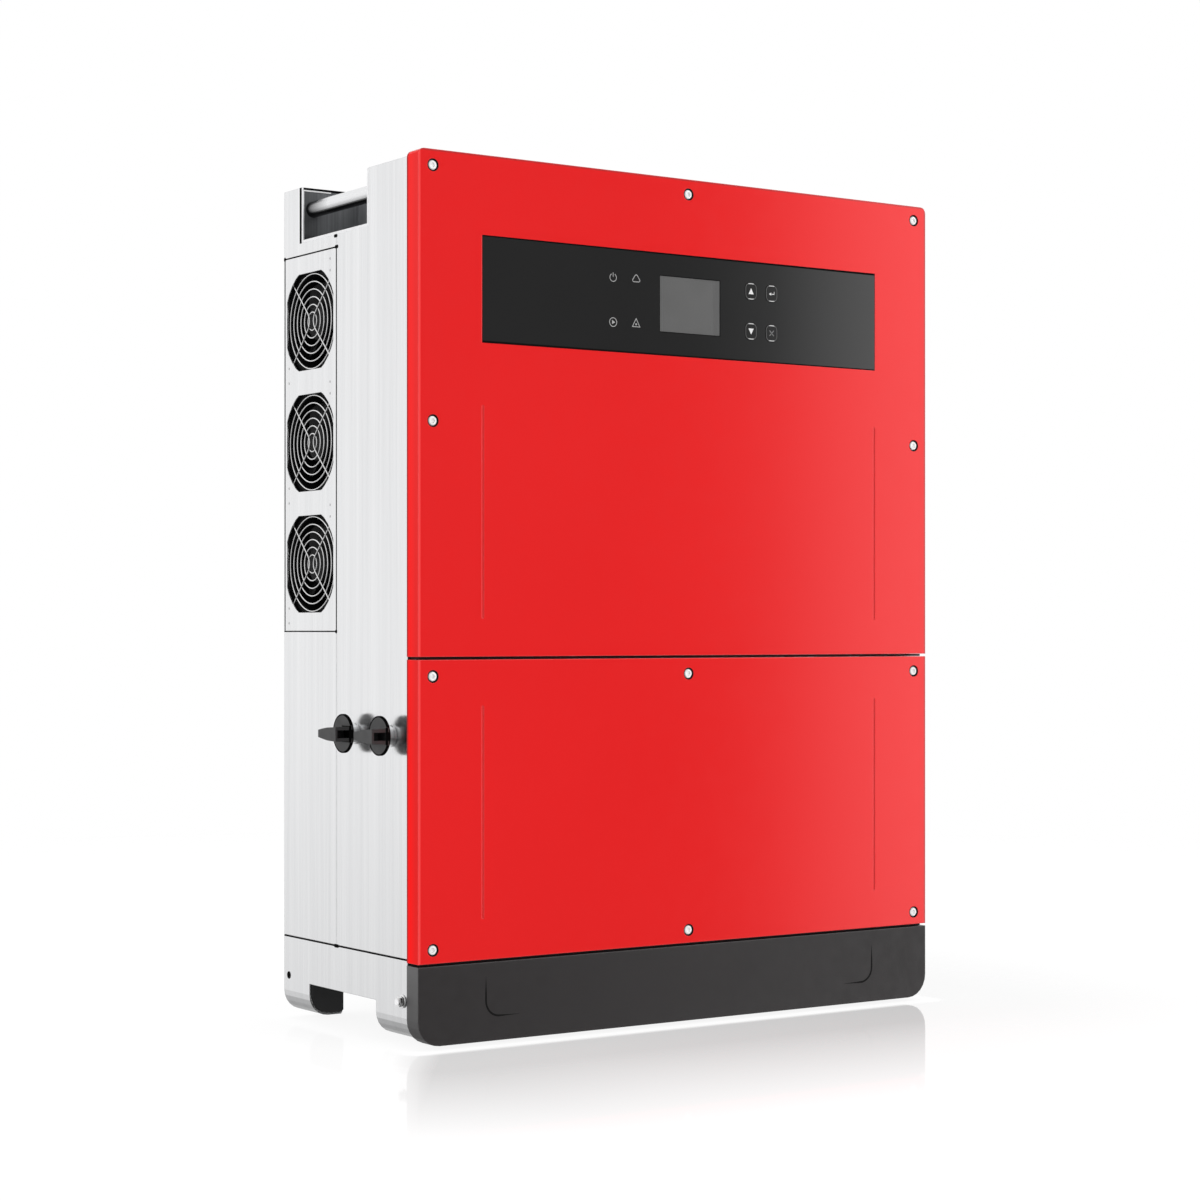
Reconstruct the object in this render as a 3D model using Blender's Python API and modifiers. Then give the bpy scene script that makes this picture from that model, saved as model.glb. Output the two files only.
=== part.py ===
"""Wall-hung three-phase string inverter: aluminium housing, red two-piece front cover, dark lower
trim, side fan tray, two rotary DC isolators, carrying handles, bottom connectors, and the boards,
heat sink and chokes inside.

Blender 4.5, metres, +Z up. The front faces -Y, the wall is the plane y = 0, left is -X.
The origin is the centre of the hanger rail's rear face, where the unit hangs on its bracket.
Sizes are in millimetres: x from the middle, depth behind the front face, z above the underside.
A name ending in _X, _D or _Z is a place, or a (low, high) span, across, in depth or in height.
"""

import math

import bmesh
import bpy
from mathutils import Matrix, Vector

MM = 0.001


def around(centre, half):
    return centre - half, centre + half


def widen(span, margin):
    """Moves both ends of a span outwards, or inwards for a negative margin."""
    return span[0] - margin, span[1] + margin


def mirrored(side, near, far):
    """The x span between two distances from the middle, on the given side (-1 or 1)."""
    return sorted((side * near, side * far))


# ---- driving dimensions ---------------------------------------------------------------------
WIDTH = 586.0
HEIGHT = 788.0
DEPTH = 264.0  # front face to wall
BODY_DEPTH = 254.5  # front face to the back of the duct shell
HANGER_Z = 600.0  # middle of the hanger rail's rear face
GAP = 0.3  # clearance between neighbouring pieces
WALL = 2.5  # housing wall
SHELL_WALL = 2.0  # duct shell wall
HALF = WIDTH / 2
SIDE = HALF - 1.0  # outer face of the aluminium body, 1 mm inside the covers
BODY_X = around(0, SIDE)
BODY_Z = (75.6, 783.3)
SPLIT_D = 150.2  # back of the front housing, front of the duct shell
HOUSING_D = (20.0, SPLIT_D)
DIVIDER_Z = (338.5, 343.0)  # floor between the two compartments

COVER_D = 19.6  # depth of the covers' side walls
COVER_T = 2.5
SEAM_Z = 340.8  # joint between the two covers
TRIM_Z = 70.3  # top of the dark lower trim
UPPER_COVER_Z = (SEAM_Z + 1.4, HEIGHT)
LOWER_COVER_Z = (TRIM_Z + 2.5, SEAM_Z - 1.2)

# Cover screws, (x, z)
SCREW_X = 277.8
UPPER_SCREWS = (
    (-SCREW_X, 774.0), (0.0, 774.0), (SCREW_X, 774.0),
    (-SCREW_X, 549.5), (SCREW_X, 549.5),
)
LOWER_SCREWS = (
    (-SCREW_X, 325.0), (0.0, 325.0), (SCREW_X, 325.0),
    (-SCREW_X, 84.7), (0.0, 84.7), (SCREW_X, 84.7),
)

PANEL_X = around(0, 226.9)  # dark display panel
PANEL_Z = (622.2, 715.8)

NOTCH_X = 230.0  # inner side of the handle notches in the top corners
NOTCH_D = (90.5, 219.3)
NOTCH_Z = 731.0  # floor of the notches

TRAY_D = (151.2, 254.3)
TRAY_Z = (365.0, 718.6)
TRAY_MIDDLE_Z = sum(TRAY_Z) / 2

KNOB_Z = 271.9
KNOB_D = {"front": 47.9, "rear": 114.5}

# String connectors: two banks, each of two rows of plugs
BANK_START_X = {"string_connectors_a": -242.0, "string_connectors_b": -72.0}
BANK_D = 80.0
PLUGS = 6
PLUG_PITCH = 24.0

AC_GLAND = (135.0, 84.0)  # (x, depth)
COMM_GLAND = (222.0, 70.0)

# Cutters run out past the body to these places
CUT_SIDE = SIDE + 10
CUT_TOP = 820.0

SIDES = ((-1, "left"), (1, "right"))
TOP_CORNERS = {(-1, 1), (1, 1)}  # signs of (x, z)
BOTTOM_CORNERS = {(-1, -1), (1, -1)}

# ---- scene ----------------------------------------------------------------------------------
for old in list(bpy.data.objects):
    bpy.data.objects.remove(old, do_unlink=True)

scene = bpy.context.scene
parts = bpy.data.collections.new("string_inverter")
tools = bpy.data.collections.new("cutters")
scene.collection.children.link(parts)
scene.collection.children.link(tools)
tools.hide_render = True

frame = bpy.data.objects.new("origin_frame", None)
frame.location = (0, 0, -HANGER_Z * MM)
parts.objects.link(frame)


# ---- materials ------------------------------------------------------------------------------
def material(name, colour, roughness, metallic=0.0):
    mat = bpy.data.materials.new(name)
    mat.use_nodes = True
    shader = mat.node_tree.nodes["Principled BSDF"]
    shader.inputs["Base Color"].default_value = (*colour, 1.0)
    shader.inputs["Roughness"].default_value = roughness
    shader.inputs["Metallic"].default_value = metallic
    mat.diffuse_color = (*colour, 1.0)
    return mat


RED = material("red_paint", colour=(0.78, 0.02, 0.02), roughness=0.35)
ALU = material("brushed_aluminium", colour=(0.80, 0.80, 0.82), roughness=0.32, metallic=1.0)
CAST = material("cast_aluminium", colour=(0.55, 0.56, 0.58), roughness=0.5, metallic=1.0)
DARK_SHEET = material("dark_sheet", colour=(0.12, 0.125, 0.13), roughness=0.45, metallic=0.6)
TRIM = material("charcoal_plastic", colour=(0.045, 0.042, 0.042), roughness=0.5)
PANEL = material("display_panel", colour=(0.022, 0.022, 0.022), roughness=0.15)
LCD = material("lcd_glass", colour=(0.16, 0.16, 0.16), roughness=0.2)
BLACK = material("black_plastic", colour=(0.02, 0.02, 0.022), roughness=0.45)
STEEL = material("stainless_steel", colour=(0.75, 0.75, 0.76), roughness=0.25, metallic=1.0)
RUBBER = material("seal_rubber", colour=(0.03, 0.03, 0.03), roughness=0.8)
BOARD = material("circuit_board", colour=(0.02, 0.16, 0.06), roughness=0.5)
TERMINAL = material("terminal_grey", colour=(0.45, 0.46, 0.47), roughness=0.5)


# ---- building blocks ------------------------------------------------------------------------
# A solid with a material is a piece; one without is a helper, to cut away or join on.
def place(x, depth, z):
    return Vector((x * MM, (depth - DEPTH) * MM, z * MM))


def add_helper(obj):
    tools.objects.link(obj)
    obj.hide_render = True
    obj.display_type = "WIRE"


def new_object(name, shape, location, mat=None):
    mesh = bpy.data.meshes.new(name)
    shape.to_mesh(mesh)
    shape.free()
    obj = bpy.data.objects.new(name, mesh)
    obj.location = location
    obj.parent = frame
    if mat:
        parts.objects.link(obj)
        mesh.materials.append(mat)
    else:
        add_helper(obj)
    return obj


def box(name, x_span, depth_span, z_span, mat=None, radius=0.0, axis="y", corners=None, segments=4):
    """A box between the given faces. A radius rounds the edges along the axis: all of them, or
    those whose corner is in corners, a set of sign pairs on the two other axes."""
    low, high = (place(*ends) for ends in zip(x_span, depth_span, z_span))
    size = high - low
    shape = bmesh.new()
    bmesh.ops.create_cube(shape, size=1.0, matrix=Matrix.Diagonal((*size, 1.0)))
    if radius:
        along = "xyz".index(axis)
        others = [k for k in range(3) if k != along]
        edges = []
        for edge in shape.edges:
            start, end = (vert.co for vert in edge.verts)
            if abs((end - start)[along]) > 0.5 * size[along]:
                middle = (start + end) / 2
                signs = tuple(1 if middle[k] > 0 else -1 for k in others)
                if corners is None or signs in corners:
                    edges.append(edge)
        bmesh.ops.bevel(
            shape, geom=edges, offset=radius * MM, segments=segments, profile=0.5, affect="EDGES"
        )
    return new_object(name, shape, (low + high) / 2, mat)


TURN = {
    "x": Matrix.Rotation(math.pi / 2, 4, "Y"),
    "y": Matrix.Rotation(math.pi / 2, 4, "X"),
    "z": Matrix.Identity(4),
}


def cylinder(name, centre, radius, length, axis, segments, mat=None, end_radius=None):
    """A cylinder about (x, depth, z). With end_radius it is a cone; along y, that is its front."""
    shape = bmesh.new()
    bmesh.ops.create_cone(
        shape, cap_ends=True, segments=segments, radius1=radius * MM,
        radius2=(end_radius or radius) * MM, depth=length * MM, matrix=TURN[axis],
    )
    return new_object(name, shape, place(*centre), mat)


def radial_block(name, size, angle, reach, centre, mat=None, twist=0.0):
    """A block twisted about its length, moved out by reach, then turned about x by angle."""
    shape = bmesh.new()
    scale = Matrix.Diagonal((*(side * MM for side in size), 1.0))
    bmesh.ops.create_cube(shape, size=1.0, matrix=scale)
    turn = (
        Matrix.Rotation(angle, 4, "X")
        @ Matrix.Translation((0, 0, reach * MM))
        @ Matrix.Rotation(twist, 4, "Z")
    )
    bmesh.ops.transform(shape, matrix=turn, verts=shape.verts)
    return new_object(name, shape, place(*centre), mat)


def prism(name, points, centre, x_span):
    """A closed outline of (depth, z) offsets about a centre, extruded along x, as a helper."""
    shape = bmesh.new()
    face = shape.faces.new([shape.verts.new((0, depth * MM, z * MM)) for depth, z in points])
    pushed = bmesh.ops.extrude_face_region(shape, geom=[face])
    moved = [item for item in pushed["geom"] if isinstance(item, bmesh.types.BMVert)]
    bmesh.ops.translate(shape, verts=moved, vec=((x_span[1] - x_span[0]) * MM, 0, 0))
    bmesh.ops.recalc_face_normals(shape, faces=shape.faces)
    return new_object(name, shape, place(x_span[0], *centre))


def torus(name, centre, radius, wire_radius, ring_segments, wire_segments):
    """A ring about x, as a helper."""
    bpy.ops.mesh.primitive_torus_add(
        major_segments=ring_segments, minor_segments=wire_segments,
        major_radius=radius * MM, minor_radius=wire_radius * MM, rotation=(0, math.pi / 2, 0),
    )
    ring = bpy.context.active_object
    ring.name = name
    for home in list(ring.users_collection):
        home.objects.unlink(ring)
    add_helper(ring)
    ring.location = place(*centre)
    ring.parent = frame
    return ring


def extruded_curve(name, points, x_span, mat):
    """A flat outline of (depth, z) points as a filled 2D curve, extruded along x."""
    curve = bpy.data.curves.new(name, "CURVE")
    curve.dimensions = "2D"
    curve.fill_mode = "BOTH"
    curve.extrude = (x_span[1] - x_span[0]) / 2 * MM
    spline = curve.splines.new("POLY")
    spline.points.add(len(points) - 1)
    for point, (depth, z) in zip(spline.points, points):
        point.co = ((depth - DEPTH) * MM, z * MM, 0.0, 1.0)
    spline.use_cyclic_u = True
    curve.materials.append(mat)
    obj = bpy.data.objects.new(name, curve)
    obj.location = (sum(x_span) / 2 * MM, 0, 0)
    obj.rotation_euler = (math.pi / 2, 0, math.pi / 2)
    obj.parent = frame
    parts.objects.link(obj)


def boolean(obj, operation, helpers, name):
    """One Boolean modifier; several helpers go into a collection of their own."""
    mod = obj.modifiers.new(name, "BOOLEAN")
    mod.operation = operation
    mod.solver = "EXACT"
    if len(helpers) == 1:
        mod.object = helpers[0]
        return
    group = bpy.data.collections.new(f"{obj.name}_{name}")
    tools.children.link(group)
    for helper in helpers:
        group.objects.link(helper)
        tools.objects.unlink(helper)
    mod.operand_type = "COLLECTION"
    mod.collection = group


def cut(obj, *helpers, name="cut"):
    boolean(obj, "DIFFERENCE", helpers, name)


def join(obj, *helpers, name="join"):
    boolean(obj, "UNION", helpers, name)


# ---- front housing --------------------------------------------------------------------------
WINDOW_X = around(0, 252)  # front openings of both compartments


def notches(prefix, margin, depth_span):
    """Cutters for the handle notches, one in each top corner."""
    return [
        box(f"{prefix}_{label}", mirrored(side, NOTCH_X - margin, CUT_SIDE), depth_span,
            (NOTCH_Z - margin, CUT_TOP))
        for side, label in SIDES
    ]


def front_housing():
    housing = box("main_housing", BODY_X, HOUSING_D, BODY_Z, ALU)
    inside_x, inside_d = widen(BODY_X, -WALL), widen(HOUSING_D, -WALL)
    upper_z = (DIVIDER_Z[1], BODY_Z[1] - WALL)
    upper = box("housing_upper_cavity", inside_x, inside_d, upper_z)
    cut(upper, *notches("cavity_notch", WALL, (NOTCH_D[0] - WALL, 200)))
    cut(housing, upper, name="cut_upper")
    lower_z = (BODY_Z[0] + WALL, DIVIDER_Z[0])
    lower = box("housing_lower_cavity", inside_x, inside_d, lower_z)
    cut(housing, lower, name="cut_lower")

    floor_z = BODY_Z[0]
    openings = notches("notch", 0, (NOTCH_D[0], 200)) + [
        box("upper_opening", WINDOW_X, (10, 30), (368, 748), radius=12),
        box("lower_opening", WINDOW_X, (10, 30), (106, 304), radius=12),
        box("heatsink_window", (-200, 200), (140, 160), (450, 640), radius=5),
        cylinder("ac_hole", (*AC_GLAND, floor_z), 31.6, 20, "z", 20),
        cylinder("comm_hole", (*COMM_GLAND, floor_z), 16.2, 20, "z", 16),
    ]
    for label, depth in KNOB_D.items():
        centre = (-SIDE, depth, KNOB_Z)
        openings.append(cylinder(f"isolator_hole_{label}", centre, 6.8, 20, "x", 16))
    for label, start in BANK_START_X.items():
        end = start + (PLUGS - 1) * PLUG_PITCH
        openings.append(
            box(f"{label}_slot", (start - 8, end + 8), around(BANK_D, 26),
                (floor_z - 5, floor_z + 8), radius=4, axis="z", segments=2)
        )
    for k, (x, z) in enumerate(UPPER_SCREWS + LOWER_SCREWS):
        openings.append(cylinder(f"flange_hole_{k}", (x, 22, z), 2.7, 20, "y", 8))
    cut(housing, *openings, name="cut_openings")


front_housing()

# ---- rear duct shell ------------------------------------------------------------------------
SHELL_CUT_D = 140.0  # its cutters start in front of it
SLOTS = 22
SLOT_PITCH = 15.0
SLOT_H = 7.0


def rear_shell():
    shell = box("rear_duct_shell", BODY_X, (SPLIT_D + GAP, BODY_DEPTH), BODY_Z, ALU)
    cavity = box("shell_cavity", widen(BODY_X, -SHELL_WALL),
                 (SHELL_CUT_D, BODY_DEPTH - SHELL_WALL), widen(BODY_Z, -SHELL_WALL))
    cut(shell, cavity, name="cut_cavity")
    openings = notches("shell_notch", 0, (SHELL_CUT_D, NOTCH_D[1]))
    openings.append(
        box("fan_tray_opening", (-CUT_SIDE, -SIDE + SHELL_WALL + 0.1), (SHELL_CUT_D, 270),
            widen(TRAY_Z, 1.0))
    )
    for k in range(SLOTS):
        z = TRAY_MIDDLE_Z + (k - (SLOTS - 1) / 2) * SLOT_PITCH
        openings.append(
            box(f"exhaust_slot_{k}", around(SIDE, 8), (166, 240), around(z, SLOT_H / 2))
        )
    cut(shell, *openings, name="cut_openings")


rear_shell()

# ---- heat sink: base plate and horizontal fins, air runs along x ----------------------------
FINS = 34
FIN_PITCH = 10.0
FIN_T = 2.2
FIN_ROOT_D, FIN_TIP_D = 162.0, 246.0
HEATSINK_X = (-235.0, 284.0)
HEATSINK_TOP = 713.0


def heatsink():
    face = SPLIT_D + GAP
    points = [(face, HEATSINK_TOP - FINS * FIN_PITCH), (face, HEATSINK_TOP)]
    for k in range(FINS):
        top = HEATSINK_TOP - k * FIN_PITCH
        points += [
            (FIN_TIP_D, top), (FIN_TIP_D, top - FIN_T),
            (FIN_ROOT_D, top - FIN_T), (FIN_ROOT_D, top - FIN_PITCH),
        ]
    extruded_curve("heatsink", points, HEATSINK_X, CAST)


heatsink()

# ---- carrying handles -----------------------------------------------------------------------
HANDLE_X, HANDLE_Z, HANDLE_R = 281.0, 763.0, 7.6
POCKET_TOP = 783.0
POCKET_PLAY = 0.4  # between the pocket and its notch
POCKET_T = 2.0


def handle(side, label):
    """A sheet pocket in the notch, open outwards and upwards, with a bar across it in depth."""
    play, inset = POCKET_PLAY, POCKET_PLAY + POCKET_T
    pocket = box(f"handle_pocket_{label}", mirrored(side, NOTCH_X + 0.5, SIDE - 0.5),
                 widen(NOTCH_D, -play), (NOTCH_Z + play, POCKET_TOP), DARK_SHEET)
    space = box(f"pocket_space_{label}", mirrored(side, NOTCH_X + 0.5 + POCKET_T, CUT_SIDE),
                widen(NOTCH_D, -inset), (NOTCH_Z + inset, CUT_TOP))
    cut(pocket, space)
    front, back = widen(NOTCH_D, -inset - GAP)
    centre = (side * HANDLE_X, (front + back) / 2, HANDLE_Z)
    cylinder(f"handle_bar_{label}", centre, HANDLE_R, back - front, "y", 40, ALU)


for side, label in SIDES:
    handle(side, label)

# ---- covers, gaskets and their screws -------------------------------------------------------
RIB_HALF = 262
RIB_T = 4
UPPER_RIB_Z = (UPPER_COVER_Z[0] + 16.0, UPPER_COVER_Z[1] - 28)
LOWER_RIB_Z = (LOWER_COVER_Z[0] + 24.0, LOWER_COVER_Z[1] - 28)
RIB_D = (COVER_T - 1, 15.4)  # starts 1 mm within the cover's front wall
BOSS_D = (COVER_T - 1, 19.4)
GROOVE_X = 226.4


def cover(name, z_span, rib_z, screws, corners, groove_z, recesses):
    """A tray open to the back, with a closed rib and screw bosses inside."""
    body = box(name, around(0, HALF), (0.0, COVER_D), z_span, RED, radius=6.0, corners=corners)
    hollow = box(f"{name}_hollow", around(0, HALF - COVER_T), (COVER_T, 30),
                 widen(z_span, -COVER_T))
    cut(body, hollow, name="hollow")
    rib = box(f"{name}_rib", around(0, RIB_HALF), RIB_D, rib_z)
    cut(rib, box(f"{name}_rib_inside", around(0, RIB_HALF - RIB_T), (-5, 30),
                 widen(rib_z, -RIB_T)))
    bosses = [
        cylinder(f"{name}_boss_{k}", (x, sum(BOSS_D) / 2, z), 7.0, BOSS_D[1] - BOSS_D[0], "y", 12)
        for k, (x, z) in enumerate(screws)
    ]
    join(body, rib, *bosses, name="rib_and_bosses")
    holes = []
    for k, (x, z) in enumerate(screws):
        holes.append(cylinder(f"{name}_bore_{k}", (x, 12, z), 2.9, 30, "y", 8))
        holes.append(cylinder(f"{name}_recess_{k}", (x, 0.6, z), 5.4, 5.2, "y", 16))
    for x, label in ((-GROOVE_X, "l"), (GROOVE_X, "r")):
        holes.append(box(f"{name}_groove_{label}", around(x, 0.9), (-2, 0.8), groove_z))
    cut(body, *holes, *recesses, name="holes")


def gasket(name, rib_z):
    """A closed band behind the rib, wider than it on both sides."""
    ring = box(name, around(0, RIB_HALF + 2), (15.8, COVER_D), widen(rib_z, 2), RUBBER)
    inside_z = (rib_z[0] + 6, rib_z[1] - 7)
    cut(ring, box(f"{name}_inside", around(0, RIB_HALF - 7), (0, 40), inside_z))


def screw(name, x, z):
    """Pan-head machine screw with a hexagon socket, its head down in the cover's recess."""
    head = cylinder(name, (x, 1.5, z), 4.3, 2.8, "y", 14, STEEL, end_radius=3.7)
    join(head, cylinder(f"{name}_shank", (x, 16, z), 2.1, 27.4, "y", 6))
    cut(head, cylinder(f"{name}_socket", (x, 0.4, z), 2.0, 2.4, "y", 6), name="socket")


panel_cuts = [
    box("panel_recess", widen(PANEL_X, GAP), (-2, 1.2), widen(PANEL_Z, GAP)),
    box("panel_window", (-104, 112), (-2, 8), (634, 704)),
]
cover("upper_cover", UPPER_COVER_Z, UPPER_RIB_Z, UPPER_SCREWS, TOP_CORNERS, (376.5, 565.0),
      panel_cuts)
cover("lower_cover", LOWER_COVER_Z, LOWER_RIB_Z, LOWER_SCREWS, set(), (109.5, 298.0), [])
gasket("upper_gasket", UPPER_RIB_Z)
gasket("lower_gasket", LOWER_RIB_Z)
for k, (x, z) in enumerate(UPPER_SCREWS + LOWER_SCREWS):
    screw(f"cover_screw_{k + 1:02d}", x, z)

# ---- lower trim -----------------------------------------------------------------------------
TRIM_R = 22.0
TRIM_T = 2.5

trim = box("bottom_trim", around(0, HALF), (0.0, 19.7), (0.0, TRIM_Z), TRIM, radius=TRIM_R,
           corners=BOTTOM_CORNERS, segments=6)
cut(trim, box("trim_hollow", around(0, HALF - TRIM_T), (TRIM_T, 30), (TRIM_T, TRIM_Z - TRIM_T),
              radius=TRIM_R - TRIM_T, corners=BOTTOM_CORNERS))

# ---- side skirts with their feet ------------------------------------------------------------
SKIRT_Z = 74.0  # top of the side skirts
SKIRT_FRONT_D = 20.3
SKIRT_T = 2.0
FOOT_R = 20.0
FOOT_Z = 3.0  # the feet stop a little above the trim's lower edge
FOOT_GAP_D = (76.5, 203.4)  # between the front and rear feet
FOOT_GAP_TOP = 33.5
EARTH_D, EARTH_Z = 28.5, 37.8


def skirt_sheet(side, label):
    """The sheet comes down the side, turns under on the foot radius, and runs a little inwards."""
    profile = [(SIDE, SKIRT_Z)]
    for k in range(7):
        angle = k * math.pi / 12
        profile.append((SIDE - FOOT_R + FOOT_R * math.cos(angle),
                        FOOT_Z + FOOT_R - FOOT_R * math.sin(angle)))
    profile.append((SIDE - 34.0, FOOT_Z))
    shape = bmesh.new()
    front, back = (
        [shape.verts.new(place(side * x, depth, z)) for x, z in profile]
        for depth in (SKIRT_FRONT_D, BODY_DEPTH)
    )
    for k in range(len(profile) - 1):
        shape.faces.new((front[k], front[k + 1], back[k + 1], back[k]))
    # The normals must face outwards, so that the sheet thickens inwards.
    bmesh.ops.recalc_face_normals(shape, faces=shape.faces)
    if sum(face.normal.x * side * face.calc_area() for face in shape.faces) < 0:
        bmesh.ops.reverse_faces(shape, faces=shape.faces)
    sheet = new_object(f"skirt_{label}", shape, (0, 0, 0), ALU)
    thick = sheet.modifiers.new("thickness", "SOLIDIFY")
    thick.thickness = SKIRT_T * MM
    thick.offset = -1.0
    return sheet


def skirt(side, label):
    sheet = skirt_sheet(side, label)
    rear_foot_d = FOOT_GAP_D[1]
    rounding = {"radius": FOOT_R - 1.0, "corners": {(side, -1)}, "segments": 6}
    walls = [
        box(f"foot_wall_{label}", mirrored(side, SIDE - 35.0, SIDE - 1.0),
            (rear_foot_d + 0.2, rear_foot_d + 2.2), (FOOT_Z + 1.0, 66.0), **rounding),
        box(f"foot_back_{label}", mirrored(side, SIDE - 60.0, SIDE - 1.0),
            (BODY_DEPTH - 2.0, BODY_DEPTH - 0.1), (FOOT_Z + 1.0, 73.0), **rounding),
        box(f"skirt_flange_{label}", mirrored(side, SIDE - 18.0, SIDE - 1.0),
            (20.6, BODY_DEPTH - 0.2), (SKIRT_Z - 2.2, SKIRT_Z - 0.2)),
    ]
    join(sheet, *walls, name="walls")
    cuts = [
        box(f"foot_gap_{label}", mirrored(side, SIDE - 60.0, CUT_SIDE), FOOT_GAP_D,
            (-10, FOOT_GAP_TOP)),
        cylinder(f"skirt_hole_{label}", (side * SIDE, 244.8, 37.5), 2.6, 20, "x", 16),
    ]
    if side < 0:
        cuts.append(cylinder("earth_hole", (-SIDE, EARTH_D, EARTH_Z), 2.7, 20, "x", 16))
    cut(sheet, *cuts, name="openings")


for side, label in SIDES:
    skirt(side, label)

earth = cylinder("earth_bolt", (-SIDE - 3.9, EARTH_D, EARTH_Z), 5.0, 3.6, "x", 6, STEEL)
join(
    earth,
    cylinder("earth_washer", (-SIDE - 1.3, EARTH_D, EARTH_Z), 6.0, 2.0, "x", 24),
    cylinder("earth_shank", (-SIDE + 2.6, EARTH_D, EARTH_Z), 2.2, 11.0, "x", 12),
)

# ---- display panel, keys, screen and board --------------------------------------------------
# Keys and lamps, (x, z)
KEYS = {
    "key_up": (73.4, 688.5), "key_enter": (98.2, 688.1),
    "key_down": (73.4, 650.4), "key_escape": (98.2, 650.1),
}
LAMPS = ((-86.0, 689.7), (-60.2, 690.6), (-86.0, 648.7), (-60.2, 649.4))
KEY_W, KEY_H, KEY_R = 14.0, 16.0, 4.5
LCD_X = (-33.2, 36.6)
LCD_Z = (643.4, 695.7)


def key_block(name, x, z, margin, depth_span, radius, mat=None, segments=4):
    """A rounded block of the key's size plus a margin all round."""
    return box(name, around(x, KEY_W / 2 + margin), depth_span, around(z, KEY_H / 2 + margin),
               mat, radius=radius, segments=segments)


def key(name, x, z):
    cap = key_block(name, x, z, 0, (-0.3, 1.4), KEY_R, PANEL)
    join(
        cap,
        key_block(f"{name}_flange", x, z, 1.5, (1.2, 2.2), 3, segments=2),
        cylinder(f"{name}_stem", (x, 4.6, z), 2.0, 5.2, "y", 12),
    )


panel = box("display_panel", PANEL_X, (0.0, 0.9), PANEL_Z, PANEL)
panel_holes = [box("lcd_opening", LCD_X, (-3, 4), LCD_Z)]
for label, (x, z) in KEYS.items():
    panel_holes.append(key_block(f"{label}_opening", x, z, GAP, (-3, 4), KEY_R + GAP))
    key(label, x, z)
cut(panel, *panel_holes)

lcd = box("lcd_module", widen(LCD_X, 3.5), (1.5, 9.0), widen(LCD_Z, 3.5), LCD)
join(lcd, box("lcd_face", widen(LCD_X, -GAP), (0.3, 2.5), widen(LCD_Z, -GAP)))

board = box("display_board", (-112, 118), (9.4, 11.0), (628, 710), BOARD)
bumps = [
    box(f"{label}_switch", around(x, 3), (8.3, 10.0), around(z, 3))
    for label, (x, z) in KEYS.items()
]
bumps += [
    cylinder(f"lamp_{k}", (x, 6.4, z), 2.5, 8.0, "y", 12) for k, (x, z) in enumerate(LAMPS)
]
join(board, *bumps)

# ---- fan tray: panel with three openings and a flange all round, fans, guards ---------------
TRAY_INNER_X = -250.0
FLANGE_T = 1.6
FAN_D = 202.7
FAN_PITCH = 114.0
FAN_Z = tuple(TRAY_MIDDLE_Z + k * FAN_PITCH for k in (1, 0, -1))
FAN_SIZE = 92.0
FAN_T = 38.0
FAN_X = (-SIDE + 4.4, -SIDE + 4.4 + FAN_T)
HUB_LENGTH = FAN_T - 8.0
BLADES = 7
BLADE_SIZE = (1.5, 25.0, 25.5)
BLADE_REACH = 28.25
BLADE_TWIST = math.radians(52)
STRUT_HALF_LENGTH, STRUT_HALF_WIDTH = 45, 1.8
GUARD_X = -SIDE + 3.0
GUARD_LEG_SIZE = (1.3, 1.6, 47.6)
GUARD_LEG_REACH = 31.8
GUARD_RINGS = 6
GUARD_RING_R, GUARD_RING_PITCH = 8.5, 7.2  # innermost ring, and the step outwards


def fan_tray():
    tray = box("fan_tray", (-SIDE, -SIDE + 1.7), TRAY_D, TRAY_Z, ALU)
    rail_d, rail_z = (153.0, 251.8), widen(TRAY_Z, -0.6)
    rails = box("tray_rails", (-SIDE + 1.2, TRAY_INNER_X), rail_d, rail_z)
    cut(rails, box("tray_rails_inside", (-SIDE - 5, TRAY_INNER_X + 5),
                   widen(rail_d, -FLANGE_T), widen(rail_z, -FLANGE_T)))
    join(tray, rails)
    holes = []
    for index, z in enumerate(FAN_Z, start=1):
        hole = cylinder(f"fan_opening_{index}", (-SIDE, FAN_D, z), 51.0, 10, "x", 32)
        square = box(f"fan_opening_square_{index}", around(-SIDE, 8), around(FAN_D, 46),
                     around(z, 45.6))
        boolean(hole, "INTERSECT", [square], "square_sides")
        holes.append(hole)
    cut(tray, *holes, name="fan_openings")


def fan_frame(index, z):
    """Square frame with a round bore and, on its inner side, a motor mount on crossed struts."""
    inner = FAN_X[1]
    half = FAN_SIZE / 2
    body = box(f"fan_frame_{index}", FAN_X, around(FAN_D, half), around(z, half), BLACK,
               radius=4, axis="x", segments=2)
    bore_centre = (sum(FAN_X) / 2, FAN_D, z)
    cut(body, cylinder(f"fan_bore_{index}", bore_centre, 44.0, FAN_T + 20, "x", 24), name="bore")
    strut_x = (inner - 3.2, inner - 0.4)
    join(
        body,
        cylinder(f"fan_mount_{index}", (inner - 1.7, FAN_D, z), 18.0, 3.4, "x", 16),
        box(f"fan_strut_{index}_a", strut_x, around(FAN_D, STRUT_HALF_LENGTH),
            around(z, STRUT_HALF_WIDTH)),
        box(f"fan_strut_{index}_b", strut_x, around(FAN_D, STRUT_HALF_WIDTH),
            around(z, STRUT_HALF_LENGTH)),
        name="motor_mount",
    )


def fan_rotor(index, z):
    centre = (FAN_X[0] + 2.0 + HUB_LENGTH / 2, FAN_D, z)
    rotor = cylinder(f"fan_rotor_{index}", centre, 17.5, HUB_LENGTH, "x", 20, BLACK)
    blades = [
        radial_block(f"blade_{index}_{k}", BLADE_SIZE, 2 * math.pi * k / BLADES, BLADE_REACH,
                     centre, twist=BLADE_TWIST)
        for k in range(BLADES)
    ]
    join(rotor, *blades, name="blades")


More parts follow.
